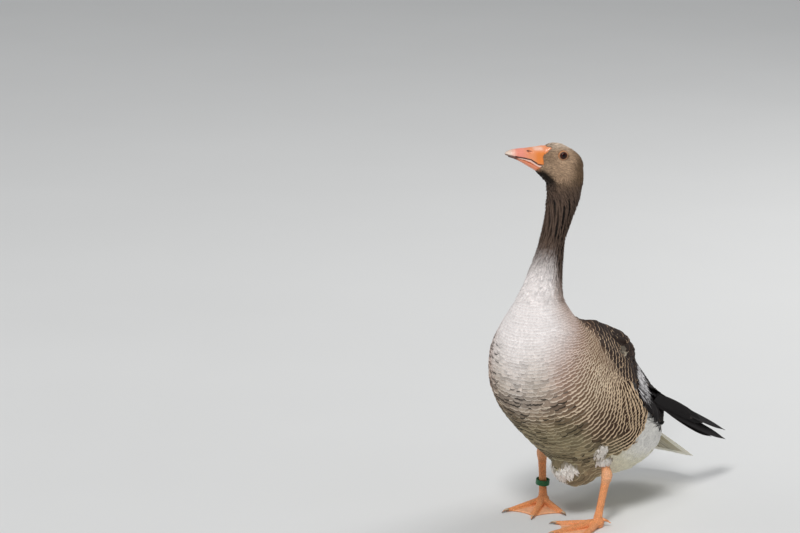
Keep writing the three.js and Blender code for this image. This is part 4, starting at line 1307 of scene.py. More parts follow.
def head_flow(points):
    """The way the plumage lies on the head: back from the bill, then down the nape."""
    ahead, _, up = head_place(points)
    down = step(ahead, 8, -32)
    below = step(up, -22, -48)
    flow = -HEAD_AHEAD[None] * (1 - 0.82 * down - 0.1 * below)[:, None]
    return flow + np.array([0, 0, -1.0]) * (0.12 + 0.95 * down + 0.35 * below)[:, None]


def round_the_eye(points, way, side):
    """Turns the feathers near an eye so that none lies across its ring."""
    away = points - np.array(EYE_AT[side]) - EYE_SHIFT
    spoke = unit(away - (away @ EYE_POLE[side])[:, None] * EYE_POLE[side])
    inward = np.minimum((way * spoke).sum(1), 0)
    return way - spoke * (1.15 * inward * step(eye_distance(points, side)[0], 14, 9))[:, None]


def coat_of_head():
    def on_head(points):
        ahead, side, up = head_place(points)
        chosen = (points[:, 2] > 0.490) & (ahead < feather_edge(side, up) + 0.3)
        for bird_side in SIDES:
            chosen &= eye_distance(points, bird_side)[0] > EYELID_REACH_MM - 0.6
        return chosen

    place, out = scattered(SKIN_MESH, HEAD_SPACING, on_head)
    ahead, side, up = head_place(place)
    tint = head_colours(place, CHANCE.normal(0, 1, len(place)))
    size = mix(6.0, 3.4, step(ahead, 0, 20))
    size = mix(size, 8.0, step(place[:, 2], 0.515, 0.496))
    crown = mix(2.3, 0.9, step(ahead, 4, 19)) * step(up, 3, 12)
    hind = 2.3 * step(ahead, 1, -11) * step(up, -20, -4)
    extra = (np.minimum(np.hypot(crown, hind), 2.4) + throat_rise(place)) * MM
    way = head_flow(place)
    for bird_side in SIDES:
        way = round_the_eye(place, way, bird_side)
    told = dict(root=place, way=way, out=out, length=size * MM + 1.6 * extra,
                width=size * 0.36 * MM + 0.3 * extra, seat=0.05 * MM + 0.6 * extra,
                lift=coat_depth(place) * 0.9 + extra, tint=tint, fringe=np.minimum(tint * 1.3, 0.9),
                edge=0.8, sway=9.0, place=np.stack([np.arctan2(side, up + 18), ahead], 1))
    lay("feathers_head", Flock().add(**told), SOFT_VANE, "neck_feathers", rows=3, cols=2, blunt=0.35,
        drop=0.25, camber=0.12, thick=0.25, shade=0.1)


# ---------- the coat of the wings ----------

class WingPlan:
    """Outer face of the folded left wing, told by shares along and down it."""

    def __init__(self):
        rows = [[*upper, *lower, thick] for upper, lower, thick in WING_PLAN_MM]
        self.share = np.linspace(0, 1, 120)
        self.read = smooth_curve(rows, self.share) * MM

    def centre(self, along):
        told = np.stack([np.interp(along, self.share, self.read[:, i]) for i in range(6)], -1)
        return (told[..., :3] + told[..., 3:6]) / 2

    def at(self, along, down):
        told = np.stack([np.interp(along, self.share, self.read[:, i]) for i in range(7)], -1)
        upper, lower, thick = told[..., :3], told[..., 3:6], told[..., 6]
        ahead = self.centre(along + 0.02) - self.centre(along - 0.02)
        outward = unit(np.cross(unit(ahead), unit(upper - lower)))
        bulge = np.sqrt(np.clip(1 - (2 * down - 1) ** 2, 0, 1)) * thick
        return upper + (lower - upper) * down[..., None] + outward * bulge[..., None], outward


WING_PLAN = WingPlan()
WING_RUN_MM = 300                 # length of the wing's plan
WING_ROWS_MM = (60, 285)          # where along it the rows begin and end
WING_CHORD_MM = 118
# Against the share along the wing: its chord as a share of the widest, how far apart
# feathers stand in a row, how far apart the rows, and how long the feathers are.
WING_CHORD = ((0, 0.15, 0.5, 0.8, 1), (0.55, 1.0, 1.0, 0.7, 0.45))
WING_SPACING_MM = ((0, 0.3, 0.6, 1), (8, 9.5, 12, 13))
WING_EXPOSURE_MM = ((0, 0.3, 0.6, 1), (6.5, 7.5, 9.5, 12))
WING_LENGTH_MM = ((0, 0.3, 0.5, 0.8, 1), (20, 26, 32, 50, 40))


def wing_rows(flip):
    """Roots on the wing's outer face, in rows: shares along and down, place and ways."""
    at, row, found = WING_ROWS_MM[0], 0, []
    while at < WING_ROWS_MM[1]:
        along = at / WING_RUN_MM
        chord = WING_CHORD_MM * np.interp(along, *WING_CHORD)
        count = max(3, int(chord / np.interp(along, *WING_SPACING_MM)))
        down = (np.arange(count) + 0.5 + 0.25 * (-1) ** row) / count + CHANCE.normal(0, 0.01, count)
        found.append(np.stack([along + CHANCE.normal(0, 0.003, count), down.clip(0, 1)], 1))
        at += np.interp(along, *WING_EXPOSURE_MM)
        row += 1
    found = np.concatenate(found)
    along, down = found[:, 0], found[:, 1]
    point, outward = WING_PLAN.at(along, down)
    ahead = WING_PLAN.at(along + 0.02, down)[0] - WING_PLAN.at(along - 0.02, down)[0]
    place, out, there = cast(COVER, (point + outward * 0.03) * flip, -outward * flip, 0.06)
    share, angle = PLAN.of(place)
    there &= from_front(angle) > np.interp(share, *WING_EDGE) - 2
    there &= share > WING_ROWS[0]
    return along[there], down[there], place[there], out[there], (ahead * flip)[there]


# A small pale patch among the dark scapulars: middle (x, y, z) and reach in mm.
PALE_SPOT_MM = ((61, -44, 252), 8)
SPOT_PALE = srgb(158, 148, 130)
# The pale loose coverts at the rear of the wing: a line of places and the reach in mm.
PALE_COVERTS_MM = (((62, -1, 226), (70, -14, 218), (79, -32, 208), (87, -45, 199)), 10.5)
PALE_COVERTS_WAY = np.array([0.22, 0.42, -0.87])
LOOSE_SPACING = 2.3 * MM          # pale coverts and tufts of down stand this far apart


def coat_of_wing(side):
    """Scapulars and coverts in rows, from the shoulder back, and the pale coverts at the rump."""
    flip = np.array([SIDES[side], 1.0, 1.0])
    along, down, place, out, ahead = wing_rows(flip)
    count = len(along)
    size = np.interp(along, *WING_LENGTH_MM)
    chance = CHANCE.random(count)
    tint = mix(SCAPULAR * 0.8, FLIGHT_BLACK, step(along, 0.30, 0.6) * 0.8)
    faint = step(along, 0.28, 0.42) * mix(0.78, 0.97, chance)
    fringe = mix(SCAPULAR_FRINGE, SCAPULAR * 1.5, faint)
    ends = place + unit(ahead) * size[:, None] * MM
    spot = near_line(ends, (PALE_SPOT_MM[0],), PALE_SPOT_MM[1])
    tint, fringe = mix(tint, SPOT_PALE, spot), mix(fringe, SPOT_PALE * 1.2, spot)
    bulk = step(along, 0.15, 0.3) * step(along, 0.6, 0.4) * step(down, 0.75, 0.3)
    behind = step(along, 0.5, 0.75)
    told = dict(root=place, way=ahead, out=out, length=size * MM, width=size * 0.55 * MM,
                seat=(0.3 + 1.8 * behind) * MM + 0.8 * bulge(place),
                lift=(2.3 + 0.9 * bulk + 2.6 * behind) * MM + bulge(ends), tint=tint, fringe=fringe, edge=1.1,
                sway=4.0, toss=0.05, place=np.stack([down, along], 1))
    lay("feathers_wing_" + side, Flock().add(**told), SCALED_VANE, "back_feathers", rows=8, cols=6,
        blunt=0.5, drop=0.16, vary=0.03)

    line, reach = PALE_COVERTS_MM
    place, out = scattered(SKIN_MESH, LOOSE_SPACING,
                           lambda points: (points[:, 0] * flip[0] > 0) & (near_line(points, line, reach) > 0))
    count = len(place)
    low = step(place[:, 2], 0.222, 0.192)
    tone = mix(1.0, 0.55, low) + mix(0.12, 0.4, low) * CHANCE.normal(0, 1, count)
    fading = near_line(place, line, reach)
    tint = mix(FLIGHT_BLACK * 4, COVERT_PALE, np.clip(tone - 0.5 * (1 - fading), 0, 1))
    told = dict(root=place, way=PALE_COVERTS_WAY * flip, out=out,
                length=mix(17, 19, low) * MM, width=2.2 * MM, seat=3.0 * MM, lift=mix(4.5, 9.0, low) * MM,
                tint=tint, fringe=tint * 1.1, edge=0.8, sway=7.0,
                place=np.stack([place[:, 1], place[:, 2]], 1))
    lay("feathers_rump_" + side, Flock().add(**told), SOFT_VANE, "back_feathers", cols=2, blunt=0.1,
        drop=0.3, vary=0.15, shade=0.08)


# Dark blades that hang over the rear of the left wing: root, tip, width.
BLADES_MM = [
    ((84, -20, 207), (98, -15, 148), 26), ((87, -42, 206), (98, -33, 160), 25),
    ((80, -6, 201), (92, 4, 152), 18), ((78, 4, 195), (86, 22, 150), 15),
    ((76, 11, 188), (80, 34, 148), 12),
]
# Tertials that close the gap between the wing tip and the rump: root, tip, width.
TERTIALS_MM = [
    ((80, 0, 195), (70, 94, 145), 22), ((75, 8, 194), (66, 76, 150), 24), ((68, 14, 192), (60, 62, 157), 24),
    ((60, 20, 194), (54, 52, 164), 22),
]
TERTIAL_FACE = (0.12, 0.45, 0.88)


def blade_flock(rows_mm, flip, normal, tint, fringe, step_mm, bend, fan=0.0):
    """Free feathers told by root, tip and width, each a step beneath the one before.

    fan is how much more each one faces upwards than the one before.
    """
    flock = Flock()
    for order, (root, tip, width) in enumerate(rows_mm):
        way = np.array(tip, float) - np.array(root, float)
        out = np.array(normal, float) + np.array([0, 0, fan * order])
        out = unit(out - unit(way) * (out @ unit(way)))
        root = np.array(root) - out * order * step_mm
        flock.add(root=(root * flip * MM)[None], way=(way * flip)[None], out=(out * flip)[None],
                  length=np.linalg.norm(way) * MM, width=width * MM, seat=0.0, lift=0.6 * MM,
                  tint=tint * (1 + 0.12 * (order % 2)), fringe=fringe, edge=0.9, sway=0.0, bend=bend,
                  place=np.array([[order + 0.3 * (order % 2), (order * 2) % 5]], float))
    return flock


def flight_feathers(side):
    flip = np.array([SIDES[side], 1.0, 1.0])
    blades = Flock()
    for order, (root, tip, width) in enumerate(BLADES_MM):
        root, tip = np.array([root]) * flip * MM, np.array([tip]) * flip * MM
        place, out, _ = nearest(COVER, root)
        blades.add(root=place, way=tip - root, out=out, length=np.linalg.norm(tip - root), width=width * MM,
                   seat=(3.0 - 0.5 * order) * MM, lift=(9.0 - 1.0 * order) * MM,
                   tint=FLIGHT_BLACK * (1.5 - 0.2 * (order % 2)), fringe=BLADE_FRINGE, edge=0.9,
                   sway=0.0, toss=0.0, place=np.array([[order + 0.3 * (order % 2), (order * 2) % 3]], float))
    lay("feathers_blades_" + side, blades, FIRM_VANE, "flight_feathers", rows=18, cols=8, blunt=0.2,
        drop=0.14, swell=0.6, foot=0.62, jag=0.008, vary=0.0, camber=0.03, shaft=0.5)
    way = np.array(PRIMARIES_MM[0][1], float) - np.array(PRIMARIES_MM[0][0])
    tilt = unit(np.array(PRIMARY_TILT) - unit(way) * (np.array(PRIMARY_TILT) @ unit(way)))
    outward = np.cross(tilt, unit(way))
    quills = blade_flock(PRIMARIES_MM, flip, outward, FLIGHT_BLACK, QUILL_FRINGE, PRIMARY_STEP_MM, 0.02, 0.3)
    lay("primaries_" + side, quills, FIRM_VANE, "flight_feathers", rows=26, cols=8, blunt=0.12, drop=0.06,
        swell=0.5, foot=0.55, jag=0.004, vary=0.0, free=True, shaft=0.7, camber=0.02,
        replaced=[f"primary_{side}_{order}" for order in (1, 2, 3)])
    inner = blade_flock(TERTIALS_MM, flip, TERTIAL_FACE, SCAPULAR * 0.55, SCAPULAR * 2.4, 0.8, 0.04)
    lay("tertials_" + side, inner, FIRM_VANE, "flight_feathers", rows=18, cols=8, blunt=0.35, drop=0.12,
        swell=0.55, foot=0.6, jag=0.006, vary=0.0, free=True, shaft=0.5, camber=0.06)


# ---------- tail ----------

TAIL_QUILLS = 16


def coat_of_tail():
    turn = np.array([[1, 0, 0], [0, math.cos(TAIL_DROOP), -math.sin(TAIL_DROOP)],
                     [0, math.sin(TAIL_DROOP), math.cos(TAIL_DROOP)]])
    off = np.linspace(-1, 1, TAIL_QUILLS)
    inner, outer = TAIL_HALF_MM
    above = 1 - np.abs(off)
    root = np.stack([off * inner, off * 0, 0.5 * off * off + 2.0 * above], 1)
    tip = np.stack([off * outer * 0.96, TAIL_LENGTH_MM - 14 * off * off, 2.4 * above - 1.5 * off * off], 1)
    way = (tip - root) @ turn
    out = np.stack([off * 0.1, off * 0, 1 + off * 0], 1) @ turn
    # the middle feathers darker: the tail's own grey-brown, and partly painted shade of its underside
    shade = (0.62 + 0.38 * np.abs(off) ** 3) * (1 + 0.09 * (-1.0) ** np.arange(TAIL_QUILLS) * above)
    told = dict(root=(root @ turn + np.array(TAIL_ROOT_MM)) * MM, way=way, out=out,
                length=np.linalg.norm(way, axis=1) * MM, width=(19 + 4 * off * off) * MM, seat=0.0,
                lift=1.2 * MM, tint=mix(TAIL_BUFF * shade[:, None], TAIL_WHITE, np.abs(off) > 0.99),
                fringe=TAIL_WHITE, edge=8.0, sway=0.0, toss=0.0, bend=-0.01,
                place=np.stack([off, off * off], 1))
    lay("tail_feathers", Flock().add(**told), SCALED_VANE, "vent_feathers", rows=14, cols=8, blunt=0.6,
        drop=0.05, foot=0.5, jag=0.006, vary=0.0, free=True, shaft=0.5, replaced=["tail"])
    tail_coverts(turn)


# Rows of white coverts over and under the tail: start along it, length, height off it.
TAIL_COVERTS_MM = ((-22, 52, 9.5), (-6, 50, 7.0), (10, 46, 4.5))
TAIL_COVERTS_ACROSS = 13


def tail_coverts(turn):
    """White feathers over and under the root of the tail, in rows that shorten backwards."""
    flock = Flock()
    inner, outer = TAIL_HALF_MM
    for face in (1, -1):
        for start, length, height in TAIL_COVERTS_MM:
            off = np.linspace(-1, 1, TAIL_COVERTS_ACROSS)
            half = inner + (outer - inner) * max(start, 0) / TAIL_LENGTH_MM
            root = np.stack([off * half, off * 0 + start, face * height * (1 - 0.35 * off * off)], 1)
            way = np.stack([off * 0.2, off * 0 + 1, -face * height / length * (1 - off * off)], 1) @ turn
            out = np.stack([off * 0.5, off * 0, face + off * 0], 1) @ turn
            flock.add(root=(root @ turn + np.array(TAIL_ROOT_MM)) * MM, way=way, out=out, length=length * MM,
                      width=13 * MM, seat=0.0, lift=1.5 * MM, tint=VENT_WHITE * 0.97, fringe=VENT_WHITE,
                      edge=2.0, sway=4.0, bend=0.06, place=np.stack([off, off * 0 + start + 100 * face], 1))
    lay("feathers_tail_root", flock, SOFT_VANE, "vent_feathers", rows=7, cols=4, blunt=0.45, drop=0.2,
        free=True)


# ---------- fluff of belly and thighs ----------

# Tufts of loose white down: middle (x, y, z) and reach.
TUFTS_MM = {
    "lobe": (((14, -113, 87), 13), ((2, -112, 80), 11), ((-12, -112, 88), 9)),
    "thigh_left": (((66, -100, 127), 10), ((62, -98, 116), 9), ((57, -85, 102), 12)),
    "thigh_right": (((-68, -86, 118), 9), ((-74, -66, 106), 10), ((-80, -47, 98), 13)),
}


def coat_of_tufts():
    for name, balls in TUFTS_MM.items():
        centres = np.array([centre for centre, _ in balls], float)
        reaches = np.array([reach for _, reach in balls], float)

        def reached(points):
            """Distance from the nearest tuft's middle, as a share of its reach."""
            gap = np.linalg.norm(points[:, None] / MM - centres[None], axis=2) / reaches[None]
            return gap.min(1)

        place, out = scattered(SKIN_MESH, LOOSE_SPACING, lambda points: reached(points) < 1.25)
        mid = step(reached(place), 1.2, 0.5)
        wave = CHANCE.random(len(place))
        white = mix(LOBE_BUFF * 0.75, FLUFF_WHITE, np.clip(mid * 1.3 - 0.35 + 0.5 * wave, 0, 1))
        told = dict(root=place, way=np.array([0, 0.3, -1.0]), out=out, length=mix(8, 12, wave) * MM,
                    width=5.0 * MM, seat=1.4 * MM, lift=mix(2.8, 5.5, mid) * MM, tint=white,
                    fringe=white * 1.04, edge=1.5, sway=14.0,
                    place=np.stack([np.arctan2(out[:, 0], out[:, 1]), place[:, 2]], 1))
        lay("feathers_fluff_" + name, Flock().add(**told), SOFT_VANE, "breast_feathers", rows=5, cols=3,
            blunt=0.4, drop=0.3, jag=0.04, vary=0.15, shade=0.05, camber=0.15)


# ---------- bill ----------

BILL_ORANGE = srgb(244, 156, 108)
BILL_DEEP = srgb(242, 138, 56)
BILL_PINK = srgb(244, 152, 132)
# Pale of the bill near its nail, also used for the painted highlight on its ridge.
BILL_PALE = srgb(250, 208, 188)
BILL_LOWER = srgb(238, 146, 108)
TOMIUM_PINK = srgb(250, 208, 192)
# Near blacks for painted shade in the gape and the nostril, and painted shadow under the bill's tip.
GAPE_DARK = srgb(42, 16, 12)
NOSTRIL_DARK = srgb(84, 26, 20)
NAIL_CREAM = srgb(236, 214, 196)

# On the bill's side: the line between its halves, (ahead, up) from the tip back.
GAPE_MM = [(79, 3.6), (71.3, 1.9), (63, -0.4), (56.6, -1.6), (45.5, -4.5), (34.6, -12), (26.5, -13.4)]
NOSTRIL_MM = (47.3, 5.8)
NOSTRIL_HALF_MM = (4.2, 1.15)
GAPE_DEEP_MM, NOSTRIL_DEEP_MM, RIDGE_HIGH_MM = 1.25, 1.5, 0.35
BILL_VOXEL, NAIL_VOXEL = 0.5 * MM, 0.42 * MM
NAIL_PROUD = 0.18 * MM            # the nail stands out this far from the bill
BILL_BEHIND_MM = 4.0              # the bill's skin runs this far back under the feathers
BILL_TUCK_MM = 2.2                # and lies this much lower there
# How much the upper bill is heightened, in mm, against how far ahead.
BILL_RAISE_MM = ((20, 25, 28, 43, 57, 68, 78), (0.3, 1.2, 1.9, 2.4, 2.8, 1.6, 0.0))


def bill_relief(ahead, side, up):
    """How deep, in mm, the bill is cut at its gape and nostril, and how far each has set in."""
    flank = step(np.abs(side), 1.5, 4.0)
    gape = step(path_distance(ahead, up, GAPE_MM), 1.15, 0.45) * flank
    slant = up - NOSTRIL_MM[1] - 0.2 * (ahead - NOSTRIL_MM[0])
    long, high = NOSTRIL_HALF_MM
    nostril = step(np.hypot((ahead - NOSTRIL_MM[0]) / long, slant / high), 1.15, 0.6) * flank
    ridge = step(np.abs(slant - 2.4), 1.8, 0) * step(np.abs(ahead - NOSTRIL_MM[0]), 8, 3) * flank
    deep = GAPE_DEEP_MM * gape + NOSTRIL_DEEP_MM * nostril - RIDGE_HIGH_MM * ridge
    return deep, gape, nostril


def gape_line(ahead):
    return np.interp(ahead, [p[0] for p in GAPE_MM[::-1]], [p[1] for p in GAPE_MM[::-1]])


def bill_raised(points):
    """Points of the upper bill lifted towards its ridge, by more near the face."""
    ahead, _, up = head_place(points)
    share = np.clip((up - gape_line(ahead)) / 14, 0, 1)
    return points + np.array([0, 0, 1.0]) * (np.interp(ahead, *BILL_RAISE_MM) * MM * share)[:, None]


def bill_colours(ahead, up, gape, nostril):
    under = gape_line(ahead) - up
    lower = mix(BILL_LOWER, TOMIUM_PINK, step(under, 4.0, 2.6) * step(ahead, 66, 60))
    below = step(under, 0.2, 0.8)
    return layered(
        BILL_ORANGE,
        (BILL_PINK, step(ahead, 43, 60)),
        (BILL_DEEP, step(ahead, 44, 34) * step(up, 6.5, 1.5) * 0.9),
        # painted highlight along the ridge of the upper bill
        (BILL_PALE, 0.8 * step(np.abs(up - 8.0), 3.4, 0.8) * step(np.abs(ahead - 34), 10, 3)),
        (BILL_PALE, 0.6 * step(ahead, 64, 70)),
        (NAIL_CREAM, step(ahead, 69, 77)),
        (lower, below),
        # painted shadow on the lower bill near its tip
        (GAPE_DARK * 2.2, 0.85 * below * step(ahead, 61, 68)),
        (BILL_DEEP, step(ahead, 38, 33) * below * step(under, 2.5, 4.5)),
        # painted shade in the gape between the halves of the bill
        (GAPE_DARK, gape),
        # painted shade in the nostril
        (NOSTRIL_DARK, nostril),
    )


def bill_pieces():
    mesh = remeshed("bill_skin", ["head"] + BILL + EYES, BILL_VOXEL, 10)
    points, _, normals = mesh_arrays(mesh)
    ahead, side, up = head_place(points)
    border = feather_edge(side, up)
    deep, gape, nostril = bill_relief(ahead, side, up)
    tuck = BILL_TUCK_MM * step(border - ahead, -0.4, 2.6)
    shaped = bill_raised(points - normals * ((deep + tuck) * MM)[:, None])
    used, faces = kept_faces(points, mesh_faces(mesh), ahead > border - BILL_BEHIND_MM)
    tint = bill_colours(ahead, up, gape, nostril)
    horn = tinted_material("bill horn", 0.34, 900.0, 0.93, 1.05, 0.00012, 0.5, 0.25)
    piece("bill", shaped[used], faces, tint[used], horn, "bill_horn", "bill_upper", "bill_lower")

    mesh = remeshed("nail_plate", ["bill_nail"], NAIL_VOXEL, 8)
    points, _, normals = mesh_arrays(mesh)
    ahead, _, up = head_place(points)
    points = bill_raised(points + normals * NAIL_PROUD)
    tint = mix(mix(BILL_PINK, BILL_PALE, 0.6), NAIL_CREAM, step(ahead, 69, 77))
    # painted shadow on the nail below the gape
    tint = mix(tint, GAPE_DARK * 2.2, 0.85 * step(up - gape_line(ahead), 0.9, 0.1))
    nail = tinted_material("nail horn", 0.3, 1400.0, 0.95, 1.03, 0.00008, 0.5, 0.3)
    piece("bill_nail_plate", points, mesh_faces(mesh), tint, nail, "nail_horn", "bill_nail")


# ---------- eyes ----------

EYE_RADIUS = 6.35 * MM
EYE_RINGS = 36
CORNEA_BULGE = 0.05               # how much the clear front of the eye stands out
PUPIL_MM, IRIS_MM = 2.5, 4.7
EYE_BROWN = srgb(66, 24, 14)
EYE_BLACK = srgb(9, 6, 6)
# Section of the lid: distance from the eye's axis and height along it, in mm.
LID_PROFILE_MM = [(4.45, 4.62), (4.75, 4.72), (5.15, 4.30), (5.5, 4.02), (5.85, 4.30), (6.25, 4.36),
                  (6.65, 4.02), (7.0, 3.2), (7.35, 1.6), (6.6, 0.4), (5.2, 2.6)]
LID_AROUND = 72
LID_BEADS, LID_BEAD_MM = 17, 0.12
LID_ORANGE = srgb(214, 146, 96)
LID_BROWN = srgb(124, 96, 74)
LID_DARK = srgb(38, 26, 22)


def eye_frame(side):
    pole = EYE_POLE[side]
    upward = np.array([0.0, 0, 1])
    return np.array(EYE_AT[side]) + EYE_SHIFT, pole, unit(np.cross(upward, pole)), upward


def eye_piece(side):
    centre, pole, ahead, upward = eye_frame(side)
    tilt = np.linspace(0, math.pi, EYE_RINGS)[1:-1]
    turn = np.arange(EYE_RINGS) * 2 * math.pi / EYE_RINGS
    radius = EYE_RADIUS * (1 + CORNEA_BULGE * step(tilt, 0.85, 0.1))
    ring = ahead[None] * np.cos(turn)[:, None] + upward[None] * np.sin(turn)[:, None]
    points = centre + radius[:, None, None] * (
        np.cos(tilt)[:, None, None] * pole + np.sin(tilt)[:, None, None] * ring[None])
    points = np.concatenate([points.reshape(-1, 3), [centre + pole * radius[0], centre - pole * EYE_RADIUS]])
    rows, n = len(tilt), EYE_RINGS
    faces = [[i * n + j, (i + 1) * n + j, (i + 1) * n + (j + 1) % n, i * n + (j + 1) % n]
             for i in range(rows - 1) for j in range(n)]
    faces += [[rows * n, j, (j + 1) % n] for j in range(n)]
    faces += [[rows * n + 1, (rows - 1) * n + (j + 1) % n, (rows - 1) * n + j] for j in range(n)]
    distance, _ = eye_distance(points, side)
    tint = mix(EYE_BLACK, EYE_BROWN, step(distance, PUPIL_MM - 0.25, PUPIL_MM + 0.35))
    tint = mix(tint, EYE_BLACK, step(distance, IRIS_MM - 1.0, IRIS_MM + 0.2))
    gloss = tinted_material("eye " + side, 0.3, 2200.0, 0.8, 1.2, 0.00001, 0.0, 0.45, 0.02)
    piece("eyeball_" + side, points, faces, tint, gloss, "eye", "eye_" + side)


def lid(side):
    """Ring of bare beaded skin round one eye: points, faces and colours."""
    centre, pole, ahead, upward = eye_frame(side)
    points, tint, faces = [], [], []
    n = len(LID_PROFILE_MM)
    for i in range(LID_AROUND):
        turn = 2 * math.pi * i / LID_AROUND
        spoke = ahead * math.cos(turn) * 1.03 + upward * math.sin(turn) * 0.97
        bead = LID_BEAD_MM * math.sin(turn * LID_BEADS)
        for distance, height in LID_PROFILE_MM:
            swell = bead if 5.6 < distance < 6.8 else 0.0
            points.append(centre + (spoke * distance + pole * (height + swell)) * MM)
            orange = 0.9 * step(distance, 5.8, 6.2) * step(distance, 7.2, 6.9)
            inner = step(distance, 5.3, 4.6)
            tint.append(mix(mix(LID_BROWN, LID_ORANGE, orange), LID_DARK, inner))
        k, m = i * n, ((i + 1) % LID_AROUND) * n
        faces += [[k + j, m + j, m + (j + 1) % n, k + (j + 1) % n] for j in range(n)]
    if side == "right":
        faces = [face[::-1] for face in faces]
    return np.array(points), faces, np.array(tint)


# ---------- legs, feet and claws ----------

LEG_ORANGE = srgb(240, 160, 104)
LEG_PALE = srgb(248, 188, 144)
WEB_PINK = srgb(246, 184, 142)
CLAW_BROWN = srgb(120, 92, 72)
CLAW_PALE = srgb(206, 178, 148)
LEG_VOXEL = 0.85 * MM
LEG_TOP_MM = 98                   # height where the leg's skin ends inside the thigh
SCALE_MM = 2.7                    # middles of scales are this far apart
SCALE_DOME_MM, SCALE_GROOVE_MM, WEB_CREASE_MM = 0.22, 0.42, 0.25
CLAW_LENGTH_MM, CLAW_HALF_MM = 9.3, 2.35


def toe_ways(side):
    """Foot's middle, and each toe's direction and length in mm."""
    _, foot, toe_in = LEGS_MM[side]
    for angle, length in TOES:
        turn = math.radians(toe_in + SIDES[side] * angle)
        yield np.array(foot, float), np.array([math.sin(turn), -math.cos(turn), 0]), length


def leg_part(side):
    """Leg and foot as one skin with scales raised between grooves."""
    mesh = remeshed("leg_flesh_" + side, ["thigh_" + side, "leg_" + side, "foot_" + side], LEG_VOXEL, 5)
    points, _, normals = mesh_arrays(mesh)
    z = points[:, 2] / MM
    toe_gap = np.full(len(points), 99.0)
    for foot, way, length in toe_ways(side):
        start, end = foot * MM, (foot + way * length) * MM
        along = np.clip(((points - start) @ way) / (length * MM), 0, 1)
        off = points - start - (end - start) * along[:, None]
        toe_gap = np.minimum(toe_gap, np.hypot(off[:, 0], off[:, 1]) / MM)
    web = step(toe_gap, 5.0, 7.5) * step(z, 6.5, 4.0) * step(normals[:, 2], -0.5, 0.2)
    seeds, _ = scattered(mesh, SCALE_MM * MM, lambda p: p[:, 2] < 0.1)
    cells = kd_of(seeds)
    found = [cells.find_n(point, 2) for point in points.tolist()]
    near = np.array([(hit[0][2], hit[1][2]) for hit in found]) / MM
    cell = np.array([hit[0][1] for hit in found])
    groove = step(near[:, 1] - near[:, 0], 0.75, 0.1)
    strength = mix(1.0, 0.3, web) * step(z, 0.6, 3.0) * step(z, LEG_TOP_MM, 88)
    dome = SCALE_DOME_MM * (1 - np.clip(near[:, 0] / 1.7, 0, 1) ** 2)
    crease = WEB_CREASE_MM * np.sin(toe_gap * 2.1) * web
    height = strength * (dome - SCALE_GROOVE_MM * groove) + crease * step(z, 0.6, 2.0)
    points = points + normals * (height * MM)[:, None]
    # Above the ankle the leg narrows and ends inside the thigh.
    ankle = np.array(ANKLE_MM[side][:2]) * MM
    points[:, :2] += (ankle - points[:, :2]) * (0.8 * step(z, 90, 102))[:, None]
    end = (LEG_TOP_MM + 0.12 * (z - LEG_TOP_MM)) * MM
    points[:, 2] = np.where(z > LEG_TOP_MM, end, points[:, 2])
    points[:, 2] = np.maximum(points[:, 2], 0.0)

    tone = np.random.default_rng(7).normal(1, 0.06, len(seeds))[cell]
    hock = np.array(LEGS_MM[side][0])
    knob = step(np.linalg.norm(points / MM - hock, axis=1), 17, 7)
    tint = mix(LEG_ORANGE, LEG_PALE, 0.75 * knob)
    tint = mix(tint, WEB_PINK, web * 0.85)
    # painted shade in the grooves between scales; tone varies at random from scale to scale
    tint = tint * (tone * (1 - 0.34 * groove * strength))[:, None]
    return points, mesh_faces(mesh), tint


def claws(side):
    points, faces, start = [], [], 0
    for foot, way, length in toe_ways(side):
        run = np.linspace(0, 1, 9)
        ahead = length * 0.96 + (length * 0.04 + CLAW_LENGTH_MM) * run
        height = 3.4 + 1.0 * np.sin(run * 2.4) - 3.2 * run ** 2
        centres = foot[None] + way[None] * ahead[:, None] + np.array([0, 0, 1.0]) * height[:, None]
        radii = CLAW_HALF_MM * (1 - run ** 1.6) + 0.28
        own, made = tube(centres * MM, radii * MM, 14, 0.85)
        points.append(own)
        faces += [[start + v for v in face] for face in made]
        start += len(own)
    points = np.concatenate(points)
    horn = tinted_material("claw " + side, 0.42, 1500.0, 0.85, 1.1, 0.0001)
    tint = mix(CLAW_BROWN, CLAW_PALE, step(points[:, 2], 0.003, 0.0055))
    piece("claws_" + side, points, faces, tint, horn, "nail_horn")


def whole_skin():
    """One skin: the body under its coat, the lids, and the bare scaled legs and feet."""
    points = mesh_arrays(SKIN_MESH)[0]
    parts = [(points, mesh_faces(SKIN_MESH), skin_colours(points))]
    parts += [lid(side) for side in SIDES]
    parts += [leg_part(side) for side in SIDES]
    faces, number, start = [], [], 0
    for order, (own, made, _) in enumerate(parts):
        faces += [[start + v for v in face] for face in made]
        number += [0 if order == 0 else 1] * len(made)
        start += len(own)
    tint = np.concatenate([part[2] for part in parts])
    under = tinted_material("skin under plumage", 0.85, 500.0, 0.8, 1.15, 0.0002, 0.3)
    ob = piece("skin", np.concatenate([part[0] for part in parts]), faces, np.clip(tint, 0, 1), under,
               "leg_skin", *FLESH, *LIMBS)
    ob.data.materials.append(tinted_material("leg skin", 0.5, 1100.0, 0.86, 1.1, 0.00018, 0.45))
    ob.data.polygons.foreach_set("material_index", np.array(number))


# ---------- leg ring ----------

RING_GREEN = srgb(16, 104, 58)
RING_TILT = math.radians(7)
# Section of the band's upper half: distance from its axis and height, in mm.
RING_HALF_MM = [(10.2, 0.8), (10.08, 1.0), (10.08, 1.2), (10.2, 1.4), (10.2, 3.5), (10.0, 4.0),
                (9.5, 4.2), (8.9, 4.1), (8.6, 3.7)]
RING_PROFILE_MM = [(x, -z) for x, z in RING_HALF_MM[::-1]] + RING_HALF_MM + [(8.55, 0)]
RING_AROUND = 96


